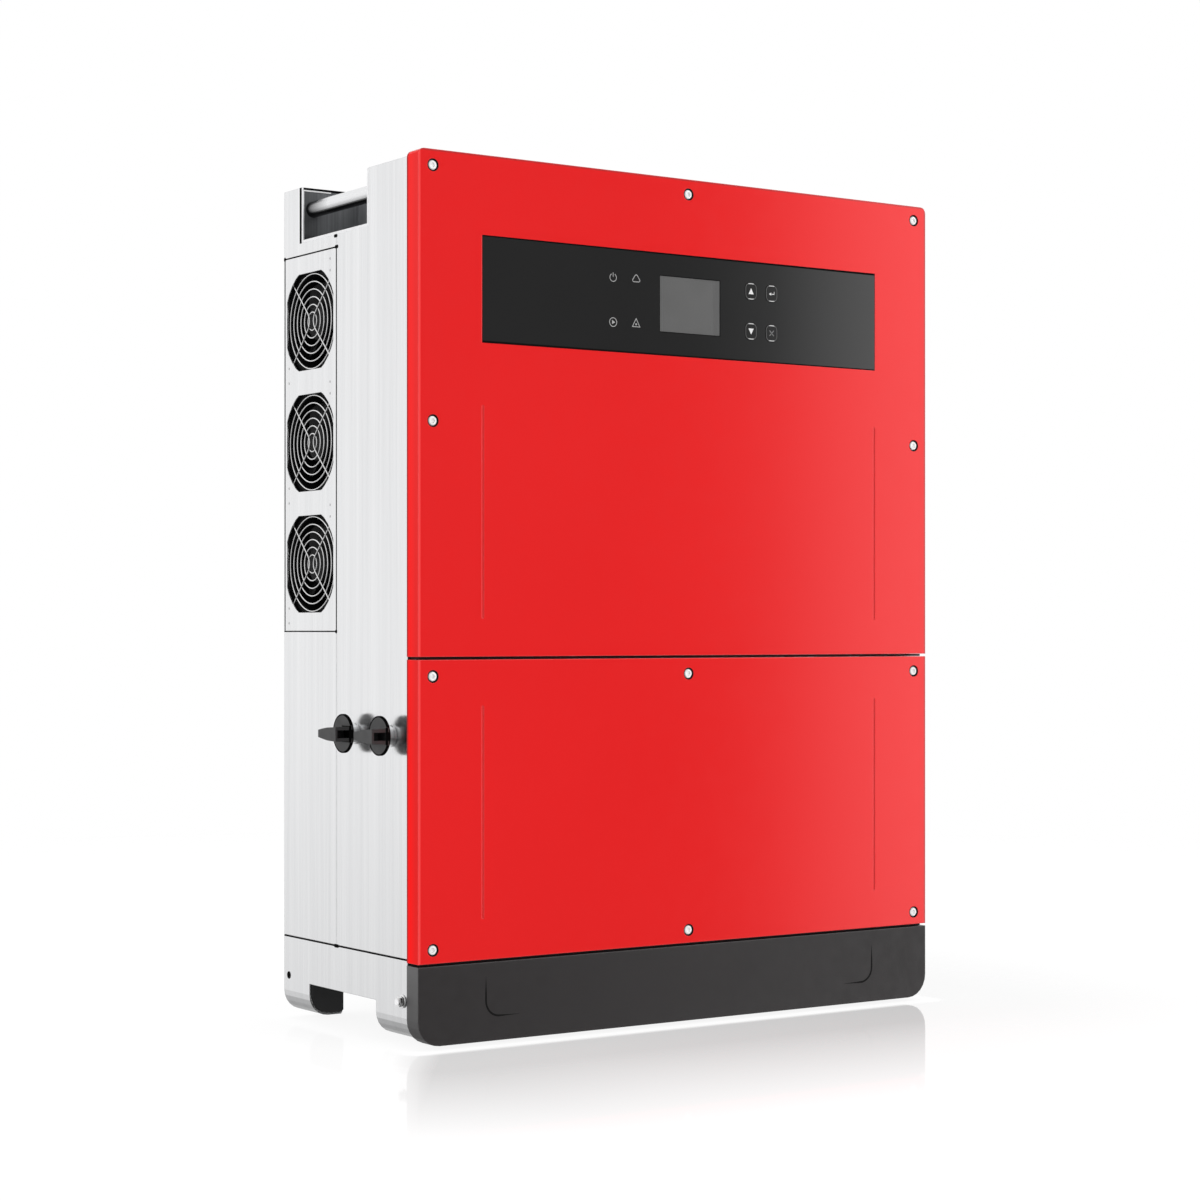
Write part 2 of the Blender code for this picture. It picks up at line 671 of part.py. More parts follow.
def fan_guard(index, z):
    """Wire rings on four diagonal legs; the first leg carries the others."""
    centre = (GUARD_X, FAN_D, z)

    def leg(name, k, mat=None):
        angle = math.pi / 4 + k * math.pi / 2
        return radial_block(name, GUARD_LEG_SIZE, angle, GUARD_LEG_REACH, centre, mat)

    guard = leg(f"fan_guard_{index}", 0, STEEL)
    wires = [leg(f"guard_leg_{index}_{k}", k) for k in (1, 2, 3)]
    for k in range(GUARD_RINGS):
        radius = GUARD_RING_R + k * GUARD_RING_PITCH
        wires.append(torus(f"guard_ring_{index}_{k}", centre, radius, 0.8, 16, 4))
    join(guard, *wires, name="wires")


fan_tray()
for index, z in enumerate(FAN_Z, start=1):
    fan_frame(index, z)
    fan_rotor(index, z)
    fan_guard(index, z)

# ---- DC isolators ---------------------------------------------------------------------------
# Grip outlines, (depth, z) from the spindle
GRIP_OUTLINE = (
    (-17.2, -6.6), (-1.0, -5.8), (7.0, -4.7), (15.6, -3.3),
    (15.6, 3.3), (7.0, 4.7), (-1.0, 5.8), (-17.2, 6.6),
)
GRIP_FOOT_OUTLINE = (
    (-17.3, -7.8), (0.0, -7.8), (9.5, -6.6), (9.5, 6.6), (0.0, 7.8), (-17.3, 7.8),
)
GRIP_INNER_X = -SIDE - 12.6


def isolator(label, depth):
    """Flanged knob with a pointer grip on its spindle, the collar it turns over, and the switch
    block inside."""

    def disc(name, x, radius, length, segments, mat=None):
        return cylinder(f"{name}_{label}", (x, depth, KNOB_Z), radius, length, "x", segments, mat)

    axis = (depth, KNOB_Z)
    knob = disc("dc_knob", -SIDE - 12.4, 17.6, 2.6, 40, BLACK)
    join(
        knob,
        prism(f"knob_grip_{label}", GRIP_OUTLINE, axis, (-SIDE - 30.0, GRIP_INNER_X)),
        prism(f"knob_grip_foot_{label}", GRIP_FOOT_OUTLINE, axis, (-SIDE - 16.0, GRIP_INNER_X)),
        disc("knob_spindle", -SIDE - 1.2, 3.6, 23.0, 12),
        disc("knob_neck", -SIDE - 10.8, 7.8, 2.0, 24),
        name="grip_and_spindle",
    )
    slot = box(f"knob_slot_{label}", (-SIDE - 28.0, -SIDE - 14.2), (depth - 30, depth - 4.0),
               around(KNOB_Z, 3.6))
    cut(knob, slot, name="slot")

    collar = disc("dc_collar", -SIDE - 0.9, 10.0, 1.2, 24, ALU)
    join(collar, disc("collar_neck", -SIDE - 4.9, 8.0, 8.8, 24))
    cut(collar, disc("collar_bore", -SIDE, 6.5, 40, 16), name="bore")

    block = box(f"dc_switch_{label}", (-SIDE + WALL + 0.4, -SIDE + 74), around(depth, 23.5),
                around(KNOB_Z, 30), TERMINAL, radius=3, axis="x", segments=2)
    join(block, disc("switch_neck", -SIDE, 6.1, 12.0, 16), name="neck")
    cut(block, disc("switch_bore", -SIDE, 4.3, 26.0, 12), name="bore")


for label, depth in KNOB_D.items():
    isolator(label, depth)

# ---- inside the upper compartment -----------------------------------------------------------
MODULE_PITCH, MODULE_W = 130, 110
RELAY_X0, RELAY_PITCH, RELAY_W = -200, 68, 34
CAN_X0, CAN_PITCH = -158, 63
CAN_Z0, CAN_ROW_PITCH = 654, 41
CONTROL_MIDDLE_Z = 526


def power_board():
    power = box("power_board", (-240, 222), (118.0, 120.0), (372, 724), BOARD)
    modules = [
        box(f"power_module_{k}", around((k - 1) * MODULE_PITCH, MODULE_W / 2), (119.5, 149.9),
            (505, 585))
        for k in range(3)
    ]
    relays = []
    for k in range(6):
        x = RELAY_X0 + k * RELAY_PITCH
        relays.append(box(f"relay_{k}", (x, x + RELAY_W), (96.0, 118.5), (384, 424)))
    join(power, *modules, *relays)


def capacitor_bank():
    base = box("dc_link_capacitors", (-190, 190), (110.0, 117.7), (632, 716), BLACK)
    cans = [
        cylinder(f"capacitor_{row}_{k}",
                 (CAN_X0 + k * CAN_PITCH, 84.0, CAN_Z0 + row * CAN_ROW_PITCH), 18.0, 54.0, "y", 12)
        for k in range(6)
        for row in range(2)
    ]
    join(base, *cans)


def control_board():
    control = box("control_board", (-130, 130), (60.0, 61.8), around(CONTROL_MIDDLE_Z, 80), BOARD)
    standoffs = [
        cylinder(f"standoff_{right}_{up}", (right * 120, 89.4, CONTROL_MIDDLE_Z + up * 70),
                 3.0, 56.0, "y", 8)
        for right in (-1, 1)
        for up in (-1, 1)
    ]
    join(
        control,
        *standoffs,
        box("processor", (-22, 22), (57.5, 60.5), (520, 564)),
        box("memory", (40, 62), (58.0, 60.5), (530, 552)),
        box("board_connector", (-100, -60), (50.0, 60.5), (580, 592)),
        box("board_transformer", (72, 104), (40.0, 60.5), (462, 494)),
    )


power_board()
capacitor_bank()
control_board()

# ---- lower compartment and lower rear bay ---------------------------------------------------
TERMINAL_X = (50, 240)
TERMINAL_WALLS, TERMINAL_WALL_T = 6, 4.0
CHOKES, CHOKE_PITCH = 5, 106.0


def terminal_block():
    block = box("ac_terminal_block", TERMINAL_X, (92, 140), (150, 176), TERMINAL)
    pitch = (TERMINAL_X[1] - TERMINAL_X[0] - TERMINAL_WALL_T) / (TERMINAL_WALLS - 1)
    walls = []
    for k in range(TERMINAL_WALLS):
        x = TERMINAL_X[0] + k * pitch
        walls.append(
            box(f"terminal_wall_{k}", (x, x + TERMINAL_WALL_T), (78, 140.0), (140, 196))
        )
    join(block, *walls)


def choke_bank():
    plate = box("choke_bank", (-270, 270), (156.0, 159.0), (96.0, 348.0), CAST)
    casings = []
    for k in range(CHOKES):
        x = (k - (CHOKES - 1) / 2) * CHOKE_PITCH
        casings += [
            box(f"choke_casing_{k}", around(x, 44), (158.0, 243.0), (118.0, 326.0),
                radius=10, segments=2),
            box(f"choke_lug_{k}", around(x, 52), (158.0, 164.0), (126.0, 144.0)),
        ]
    join(plate, *casings)


terminal_block()
choke_bank()


# ---- connectors and glands in the underside -------------------------------------------------
def connector_bank(name, start):
    end = start + (PLUGS - 1) * PLUG_PITCH
    strip = box(name, (start - 15, end + 15), around(BANK_D, 34), (72.6, BODY_Z[0] - GAP), BLACK,
                radius=6, axis="z", segments=2)
    plugs = [
        cylinder(f"{name}_plug_{k}_{row}", (start + k * PLUG_PITCH, depth, 56.4),
                 8.4, 33.0, "z", 10)
        for k in range(PLUGS)
        for row, depth in enumerate(around(BANK_D, 16))
    ]
    join(strip, *plugs)


def gland(name, position, hexagon, nut, neck, bore_radius, segments):
    """Hexagon, nut below, neck above, bored through. Each is (middle z, radius, length)."""

    def ring(suffix, size, sides, mat=None):
        z, radius, length = size
        return cylinder(f"{name}{suffix}", (*position, z), radius, length, "z", sides, mat)

    body = ring("", hexagon, 6, BLACK)
    join(body, ring("_nut", nut, segments), ring("_neck", neck, segments))
    cut(body, ring("_bore", (60, bore_radius, 80), segments), name="bore")


for label, start in BANK_START_X.items():
    connector_bank(label, start)
gland("ac_gland", AC_GLAND, hexagon=(69.3, 39.0, 12.0), nut=(52.0, 33.0, 26.0),
      neck=(79.5, 31.0, 13.0), bore_radius=24.0, segments=20)
gland("comm_gland", COMM_GLAND, hexagon=(71.8, 22.0, 7.0), nut=(60.0, 19.0, 18.0),
      neck=(79.0, 15.6, 11.0), bore_radius=11.0, segments=16)

# ---- wall side: hanger rail and lower spacer ------------------------------------------------
BRACKET_X = (-200.0, 200.0)
BRACKET_D = BODY_DEPTH + GAP  # front face of both

# Section outlines, (depth, z)
HANGER_OUTLINE = (
    (BRACKET_D, 575.0), (BRACKET_D + 2.5, 575.0), (BRACKET_D + 2.5, 612.5),
    (DEPTH - 2.5, 612.5), (DEPTH - 2.5, 585.0), (DEPTH, 585.0), (DEPTH, 615.0),
    (BRACKET_D + 2.5, 615.0), (BRACKET_D + 2.5, 640.0), (BRACKET_D, 640.0),
)
SPACER_OUTLINE = (
    (BRACKET_D, 130.0), (BRACKET_D + 2.0, 130.0), (BRACKET_D + 2.0, 150.0),
    (DEPTH, 150.0), (DEPTH, 182.0), (BRACKET_D + 2.0, 182.0),
    (BRACKET_D + 2.0, 202.0), (BRACKET_D, 202.0), (BRACKET_D, 180.0),
    (DEPTH - 2.0, 180.0), (DEPTH - 2.0, 152.0), (BRACKET_D, 152.0),
)
extruded_curve("hanger_rail", HANGER_OUTLINE, BRACKET_X, STEEL)
extruded_curve("wall_spacer", SPACER_OUTLINE, BRACKET_X, STEEL)

# ---- shading: smooth, with sharp edges kept -------------------------------------------------
for obj in parts.objects:
    if obj.type == "MESH":
        obj.data.shade_smooth()
        obj.data.set_sharp_from_angle(angle=math.radians(35))
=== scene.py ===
# A wall-hung electrical enclosure: red front covers with a display and four keys, brushed
# aluminium sides with handle recesses, three fans and two rotary isolators on the left side,
# and a charcoal trim along the bottom. The front faces -Y, +X is right seen from the front.
import math

import bmesh
import bpy
from mathutils import Matrix, Vector


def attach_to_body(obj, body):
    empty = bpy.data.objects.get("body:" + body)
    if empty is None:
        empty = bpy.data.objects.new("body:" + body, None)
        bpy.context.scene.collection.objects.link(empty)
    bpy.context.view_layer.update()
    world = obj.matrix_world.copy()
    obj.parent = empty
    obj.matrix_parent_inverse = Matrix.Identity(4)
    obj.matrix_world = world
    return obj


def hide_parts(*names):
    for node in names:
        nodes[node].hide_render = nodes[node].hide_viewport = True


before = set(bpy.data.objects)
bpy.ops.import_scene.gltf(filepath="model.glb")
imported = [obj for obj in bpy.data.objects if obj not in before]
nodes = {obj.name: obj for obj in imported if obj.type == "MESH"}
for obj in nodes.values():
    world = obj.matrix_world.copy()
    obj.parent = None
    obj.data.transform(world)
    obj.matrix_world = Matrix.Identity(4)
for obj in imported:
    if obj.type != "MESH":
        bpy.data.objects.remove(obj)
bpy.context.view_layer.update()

for name in ("Cube", "Light", "Camera"):
    if name in bpy.data.objects and name not in nodes:
        bpy.data.objects.remove(bpy.data.objects[name], do_unlink=True)

# ============================================================ main sizes, in millimetres
# x from the middle, depth behind the front face, z = height above the underside
DEPTH = 264.0       # front face to the frame's y = 0
ORIGIN_Z = 600.0    # height of the frame's z = 0
SIDE = 292.0        # half the width

FAN_DEPTH = 202.7
FAN_HEIGHTS = [655.8 - 114.0 * k for k in range(3)]
GUARD_X = -SIDE + 3.0
ROTOR_X = -SIDE + 6.4
BLADE_ROOT, BLADE_TIP = 16.6, 41.0      # radii

SCREW_X = 277.8
# height, body that carries the row, places across in steps of SCREW_X
SCREW_ROWS = [
    (774.0, "enclosure", (-1, 0, 1)),
    (549.5, "enclosure", (-1, 1)),
    (325.0, "lower_cover", (-1, 0, 1)),
    (84.7, "lower_cover", (-1, 0, 1)),
]
# key: centre x, z
KEYS = {"up": (73.4, 688.5), "enter": (98.2, 688.1), "down": (73.4, 650.4), "escape": (98.2, 650.1)}
LCD_LEFT, LCD_RIGHT, LCD_BOTTOM, LCD_TOP = -33.2, 36.6, 643.4, 695.7

LEFT, RIGHT, BACK, UP = (-1, 0, 0), (1, 0, 0), (0, 1, 0), (0, 0, 1)


def point(x, depth, z):
    """Millimetres on the product to metres in the frame."""
    return Vector((x / 1000, (depth - DEPTH) / 1000, (z - ORIGIN_Z) / 1000))


# ============================================================ shader helpers
class ShaderTree:
    def __init__(self, tree):
        self.tree = tree

    def feed(self, socket, value):
        """Link a socket, or set a plain value."""
        if isinstance(value, bpy.types.NodeSocket):
            self.tree.links.new(value, socket)
        elif socket.type == "RGBA":
            socket.default_value = (*value, 1.0)
        else:
            socket.default_value = value

    def add(self, kind, inputs=None, **settings):
        node = self.tree.nodes.new("ShaderNode" + kind)
        for key, value in settings.items():
            setattr(node, key, value)
        for key, value in (inputs or {}).items():
            self.feed(node.inputs[key], value)
        return node

    def math(self, operation, *values):
        return self.add("Math", dict(enumerate(values)), operation=operation).outputs[0]

    def times(self, first, second):
        return self.math("MULTIPLY", first, second)

    def span(self, value, to=(0.0, 1.0), over=(0.3, 0.7)):
        """Map the range `over` on to the range `to`, clamped."""
        return self.add("MapRange", {
            "Value": value, "From Min": over[0], "From Max": over[1],
            "To Min": to[0], "To Max": to[1],
        }).outputs["Result"]

    def mix(self, factor, first, second, blend="MIX"):
        inputs = {0: factor, 6: first, 7: second}    # 6 and 7 are the colour sockets
        return self.add("Mix", inputs, data_type="RGBA", blend_type=blend).outputs[2]


class Material(ShaderTree):
    def __init__(self, name):
        self.material = bpy.data.materials.new(name)
        self.material.use_nodes = True
        super().__init__(self.material.node_tree)
        self.bsdf = self.tree.nodes["Principled BSDF"]

    def coords(self, scale=(1, 1, 1), rotation=(0, 0, 0)):
        place = self.add("TexCoord").outputs["Object"]
        inputs = {"Vector": place, "Scale": scale, "Rotation": rotation}
        return self.add("Mapping", inputs).outputs["Vector"]

    def noise(self, scale, detail=2.0, stretch=(1, 1, 1), roughness=0.5):
        return self.add("TexNoise", {
            "Scale": scale, "Detail": detail, "Roughness": roughness,
            "Vector": self.coords(stretch),
        }).outputs["Fac"]

    def vary(self, low, high, **noise):
        """A number that wanders between two values."""
        return self.span(self.noise(**noise), to=(low, high))

    def vary_colour(self, first, second, **noise):
        return self.mix(self.span(self.noise(**noise)), first, second)

    def cells(self, scale, **settings):
        inputs = {"Scale": scale, "Vector": self.coords()}
        return self.add("TexVoronoi", inputs, **settings).outputs["Distance"]

    def pebbled(self, grain):
        """Height of a moulded plastic texture."""
        cells = self.times(self.cells(grain), 0.5)
        return self.math("ADD", cells, self.noise(scale=grain * 1.6, detail=3))

    def average(self, first, second):
        halves = [self.times(self.span(value), 0.5) for value in (first, second)]
        return self.math("ADD", *halves)

    def place(self, axis):
        """One component of where a point is, in metres."""
        source = self.add("TexCoord").outputs["Object"]
        return self.add("SeparateXYZ", {0: source}).outputs[axis]

    def facing(self, axis):
        """One component of the surface's own direction."""
        source = self.add("NewGeometry").outputs["Normal"]
        return self.add("SeparateXYZ", {0: source}).outputs[axis]

    def sideways(self, to=(0.0, 1.0), over=(0.35, 0.85)):
        """How far the surface faces left or right."""
        return self.span(self.math("ABSOLUTE", self.facing("X")), to=to, over=over)

    def bevelled(self, radius, bump=None, strength=0.1, distance=0.0002):
        """Softly rounded edges, with an optional fine bump. Returns the rounded normal."""
        rounded_normal = self.add("Bevel", {"Radius": radius}, samples=4).outputs["Normal"]
        normal = rounded_normal
        if bump is not None:
            normal = self.add("Bump", {
                "Strength": strength, "Distance": distance, "Height": bump, "Normal": normal,
            }).outputs["Normal"]
        self.feed(self.bsdf.inputs["Normal"], normal)
        return rounded_normal

    def edge(self, rounded_normal, gain, limit):
        """Closeness to an edge: where the rounded normal leaves the true one."""
        inputs = {0: rounded_normal, 1: self.add("NewGeometry").outputs["Normal"]}
        match = self.add("VectorMath", inputs, operation="DOT_PRODUCT").outputs["Value"]
        closeness = self.times(self.math("SUBTRACT", 1.0, match), gain)
        return self.math("MINIMUM", closeness, limit)

    def finish(self, **values):
        for key, value in values.items():
            self.feed(self.bsdf.inputs[key.replace("_", " ")], value)
        return self.material


def scaled(tone, factor, offset=0.0):
    return tuple(min(1.0, channel * factor + offset) for channel in tone)


# ============================================================ materials
def red_powder():
    mat = Material("red_powder_coat")
    normal = mat.bevelled(radius=0.0014, bump=mat.noise(scale=1900, detail=3),
                          strength=0.03, distance=0.00004)
    tone = mat.vary_colour((0.795, 0.0170, 0.0180), (0.820, 0.0185, 0.0195), scale=3.0)
    # painted highlight along the left corner of the front, painted shade along its right and top
    # edges
    # axis, range in metres, strength over that range, colour
    for axis, over, to, colour in (
        ("X", (-0.2910, -0.2902), (1.0, 0.0), (1.0, 0.066, 0.066)),
        ("X", (0.2906, 0.2916), (0.0, 1.0), (0.50, 0.035, 0.035)),
        ("Z", (0.1858, 0.1868), (0.0, 1.0), (0.52, 0.030, 0.030)),
    ):
        tone = mat.mix(mat.span(mat.place(axis), to=to, over=over), tone, colour)
    # painted light on the returned sides: brighter than the front, paler high up and deeper towards
    # the fold. They end in a dark rear edge
    high = mat.span(mat.place("Z"), over=(-0.45, 0.10))
    back = mat.mix(high, (1.0, 0.0165, 0.0165), (1.0, 0.0370, 0.0370))
    front = mat.mix(high, (0.79, 0.0225, 0.0225), (0.90, 0.0400, 0.0400))
    side = mat.mix(mat.span(mat.place("Y"), over=(-0.2600, -0.2500)), front, back)
    rear_edge = mat.span(mat.place("Y"), over=(-0.2475, -0.2462))
    side = mat.mix(rear_edge, side, (0.46, 0.0300, 0.0300))
    tone = mat.mix(mat.sideways(), tone, side)
    # painted highlight: paler red along the rounded edges
    edge_highlight = mat.times(mat.edge(normal, gain=6.0, limit=1.0), 0.65)
    return mat.finish(
        Base_Color=mat.mix(edge_highlight, tone, (1.0, 0.135, 0.14)),
        Roughness=mat.vary(0.08, 0.11, scale=60, detail=3),
        # glossy on the broad front, flatter on the thin returned edges
        Specular_IOR_Level=mat.sideways(to=(0.95, 0.0)),
        Specular_Tint=(1.0, 0.35, 0.36),
    )


def brushed(name, low=0.790, high=0.925, rough=(0.15, 0.24), along="z", under=None):
    """Brushed metal. `under` is the range of upward facing over which painted shade on the
    underside gives way to the metal's own colour.
    """
    mat = Material(name)
    stretch = tuple(5 if axis == along else 900 for axis in "xyz")
    bands = tuple(0.8 if axis == along else 95 for axis in "xyz")
    fine = mat.noise(scale=1.0, detail=4, stretch=stretch, roughness=0.6)
    broad = mat.noise(scale=1.0, detail=3, stretch=bands)
    normal = mat.bevelled(radius=0.0009, bump=fine, strength=0.06, distance=0.00005)
    # slightly blue, more so in the darker streaks
    tint = mat.mix(mat.average(fine, broad), (low, low * 1.006, low * 1.020),
                   (high, high * 1.003, high * 1.012))
    grime = mat.vary(0.985, 1.0, scale=7, detail=4)
    tint = mat.mix(1.0, tint, grime, blend="MULTIPLY")
    # painted highlight: paler along the rounded edges
    base = mat.mix(mat.edge(normal, gain=2.0, limit=0.5), tint, (0.97, 0.97, 0.98))
    if under is not None:
        # painted shade: dark below, and darker where it meets the recess's back wall
        base = mat.mix(mat.span(mat.facing("Z"), over=under), (0.008, 0.008, 0.008), base)
        shade = mat.span(mat.place("Y"), over=(-0.0900, -0.0500))
        base = mat.mix(shade, base, (0.035, 0.036, 0.038))
    return mat.finish(Base_Color=base, Metallic=1.0, Roughness=mat.span(fine, to=rough),
                      Anisotropic=0.35)


def dark_sheet():
    """Painted sheet in the handle recesses: faint vertical streaks, with painted shade low down and
    towards the outer side.
    """
    mat = Material("dark_painted_sheet")
    streak = mat.noise(scale=1.0, detail=3, stretch=(420, 420, 2))
    broad = mat.noise(scale=1.0, stretch=(60, 60, 1.0))
    mat.bevelled(radius=0.0005, bump=streak, strength=0.05, distance=0.00004)
    base = mat.mix(mat.average(streak, broad), (0.115, 0.120, 0.126), (0.250, 0.258, 0.268))
    # painted shade: darker low down and towards the outer side
    outward = mat.span(mat.math("ABSOLUTE", mat.place("X")), to=(1.0, 0.30), over=(0.268, 0.2915))
    upward = mat.span(mat.place("Z"), to=(0.35, 1.0), over=(0.1340, 0.1400))
    base = mat.mix(mat.times(outward, upward), (0.02, 0.02, 0.021), base)
    return mat.finish(Base_Color=base, Roughness=0.5, Specular_IOR_Level=0.2)


def pale_edge():
    mat = Material("bright_sheet_edge")
    base = mat.vary_colour((0.86, 0.86, 0.87), (0.93, 0.93, 0.94), scale=300)
    return mat.finish(Base_Color=base, Roughness=0.45)


def cast(name, tone, rough=0.5):
    mat = Material(name)
    mat.bevelled(radius=0.0006, bump=mat.noise(scale=500, detail=4), strength=0.18)
    base = mat.vary_colour(scaled(tone, 0.88), scaled(tone, 1.08), scale=30, detail=4)
    roughness = mat.vary(rough - 0.07, rough + 0.09, scale=140, detail=3)
    return mat.finish(Base_Color=base, Metallic=1.0, Roughness=roughness)


def moulded(name, tone, rough, grain=1700, strength=0.12, bevel=0.0008, specular=0.5):
    mat = Material(name)
    normal = mat.bevelled(radius=bevel, bump=mat.pebbled(grain), strength=strength,
                          distance=0.00012)
    base = mat.vary_colour(scaled(tone, 0.93), scaled(tone, 1.06), scale=9, detail=3)
    # painted highlight: paler along the rounded edges
    rim_highlight = mat.mix(mat.edge(normal, gain=1.6, limit=0.3), base, scaled(tone, 2.2, offset=0.01))
    roughness = mat.vary(rough - 0.05, rough + 0.06, scale=90, detail=3)
    return mat.finish(Base_Color=rim_highlight, Roughness=roughness, Specular_IOR_Level=specular)


def trim_plastic():
    mat = Material("charcoal_trim_plastic")
    normal = mat.bevelled(radius=0.0018, bump=mat.pebbled(1500), strength=0.10, distance=0.00012)
    face = mat.vary_colour((0.0215, 0.0188, 0.0192), (0.0240, 0.0212, 0.0216), scale=9, detail=3)
    # painted light on the ends: paler than the face, growing paler upwards
    end = mat.mix(mat.span(mat.place("Z"), over=(-0.595, -0.530)),
                  (0.0235, 0.0220, 0.0225), (0.084, 0.082, 0.083))
    base = mat.mix(mat.sideways(over=(0.5, 0.9)), face, end)
    # painted highlight: paler along the rounded edges
    edge_highlight = mat.mix(mat.edge(normal, gain=3.0, limit=0.55), base, (0.13, 0.127, 0.128))
    return mat.finish(Base_Color=edge_highlight, Roughness=mat.vary(0.31, 0.42, scale=90, detail=3),
                      Specular_IOR_Level=0.5)


def gloss_panel():
    mat = Material("display_gloss_film")
    mat.bevelled(radius=0.0003)
    base = mat.vary_colour((0.0190, 0.0190, 0.0192), (0.0210, 0.0210, 0.0212), scale=5)
    return mat.finish(Base_Color=base, Roughness=mat.vary(0.045, 0.065, scale=22, detail=4),
                      Specular_IOR_Level=0.45)


def lcd_face():
    mat = Material("lcd_face_grey")
    cell = 0.00055
    grid = mat.add("TexBrick", {
        "Scale": 1.0, "Mortar Size": 0.00006, "Brick Width": cell, "Row Height": cell,
        "Color1": (0.115, 0.115, 0.115), "Color2": (0.120, 0.120, 0.119),
        "Mortar": (0.100, 0.100, 0.100),
        "Vector": mat.coords(rotation=(math.pi / 2, 0, 0)),
    }, offset=0.0)
    return mat.finish(Base_Color=grid.outputs["Color"], Roughness=mat.vary(0.16, 0.24, scale=30),
                      Coat_Weight=0.2, Coat_Roughness=0.06)


def steel(name, tone, rough, metallic=1.0):
    mat = Material(name)
    mat.bevelled(radius=0.0003, bump=mat.noise(scale=900, detail=3), strength=0.05,
                 distance=0.00005)
    grey = (tone,) * 3
    base = mat.vary_colour(scaled(grey, 0.92), scaled(grey, 1.06), scale=200, detail=3)
    return mat.finish(Base_Color=base, Metallic=metallic,
                      Roughness=mat.vary(*rough, scale=350, detail=3))


def ink(name, grey, specular=0.5):
    mat = Material(name)
    tone = (grey,) * 3
    return mat.finish(Base_Color=mat.vary_colour(scaled(tone, 0.9), tone, scale=900),
                      Roughness=0.45, Specular_IOR_Level=specular)


def circuit():
    mat = Material("circuit_board_green")
    cells = mat.cells(190, distance="MANHATTAN", feature="DISTANCE_TO_EDGE")
    trace = mat.span(cells, to=(1.0, 0.0), over=(0.02, 0.06))
    mat.bevelled(radius=0.0003, bump=trace, strength=0.2, distance=0.00005)
    base = mat.mix(trace, (0.012, 0.10, 0.035), (0.03, 0.20, 0.08))
    return mat.finish(Base_Color=base, Roughness=0.35)


RED = red_powder()
ALUMINIUM = brushed("brushed_aluminium_vertical")
BAR = brushed("brushed_aluminium_bar", low=0.82, high=0.93, rough=(0.18, 0.28), along="y",
              under=(-0.70, -0.52))
RIVET = brushed("brushed_aluminium_rivet", low=0.80, high=0.90, rough=(0.20, 0.30), along="y")
ZINC = brushed("brushed_zinc_sheet", low=0.66, high=0.80, rough=(0.28, 0.44), along="x")
EXTRUDED = cast("extruded_aluminium", (0.58, 0.59, 0.61))
CHOKE = cast("cast_choke_casing", (0.42, 0.43, 0.45), rough=0.55)
POCKET = dark_sheet()
LIP = pale_edge()
# the LCD's dark bezel and the film's edge, and painted shadow in joints, gaps and holes and along
# the display panel's top
LINE = ink("dark_line_and_painted_shadow", 0.006, specular=0.0)
# painted shade on the knobs' rims and slots, and along the handle recesses' gap lines
RECESS_LINE = ink("painted_shade_edge", 0.004, specular=0.0)
FRAME = moulded("fan_frame_plastic", (0.0035, 0.0035, 0.0037), rough=0.60, grain=2200,
                strength=0.06, specular=0.12)
TRIM = trim_plastic()
BLACK = moulded("black_moulded_plastic", (0.0150, 0.0150, 0.0155), rough=0.42, grain=2200,
                strength=0.10)
KNOB = moulded("knob_moulded_plastic", (0.038, 0.038, 0.039), rough=0.50, grain=2200,
               bevel=0.0007)
ROTOR = moulded("rotor_plastic", (0.0070, 0.0070, 0.0073), rough=0.50, grain=2600,
                strength=0.06, bevel=0.0005, specular=0.22)
TERMINAL = moulded("terminal_grey_plastic", (0.40, 0.41, 0.42), rough=0.48)
RUBBER = moulded("seal_rubber", (0.012, 0.012, 0.012), rough=0.78, grain=900, strength=0.3)
SLEEVE = moulded("capacitor_sleeve", (0.02, 0.022, 0.045), rough=0.30, grain=700, strength=0.03)
SEAL = moulded("screw_seal_rubber", (0.006, 0.006, 0.006), rough=0.8, grain=900, strength=0.2,
               specular=0.1)
PANEL = gloss_panel()
LCD = lcd_face()
SCREW = steel("screw_bright_steel", tone=0.97, rough=(0.26, 0.38), metallic=0.12)
WIRE = steel("guard_plated_wire", tone=0.86, rough=(0.14, 0.24))
STEEL = steel("stainless_bolt", tone=0.78, rough=(0.22, 0.34))
STUD = steel("earth_stud_steel", tone=0.90, rough=(0.10, 0.18))
DULL = steel("dull_screw", tone=0.50, rough=(0.34, 0.44))
moulded("socket_dark", (0.02, 0.02, 0.02), rough=0.5)    # a spare: no piece wears it
WHITE_INK = ink("white_legend_ink", 0.80)
LIGHT_INK = ink("light_legend_ink", 0.40)
# painted highlights where the key outlines turn over the caps' top and bottom
KEY_HIGHLIGHT_INK = ink("key_highlight_ink", 0.62)
OUTLINE_INK = ink("key_outline_ink", 0.105)
LCD_LINE = ink("lcd_edge_band", 0.104, specular=0.4)
GREY_INK = ink("grey_legend_ink", 0.19)
# painted shade in the trim's grooves
CREASE = moulded("trim_crease", (0.0065, 0.006, 0.006), rough=0.7, grain=1500, strength=0.1,
                 specular=0.2)
BOARD = circuit()

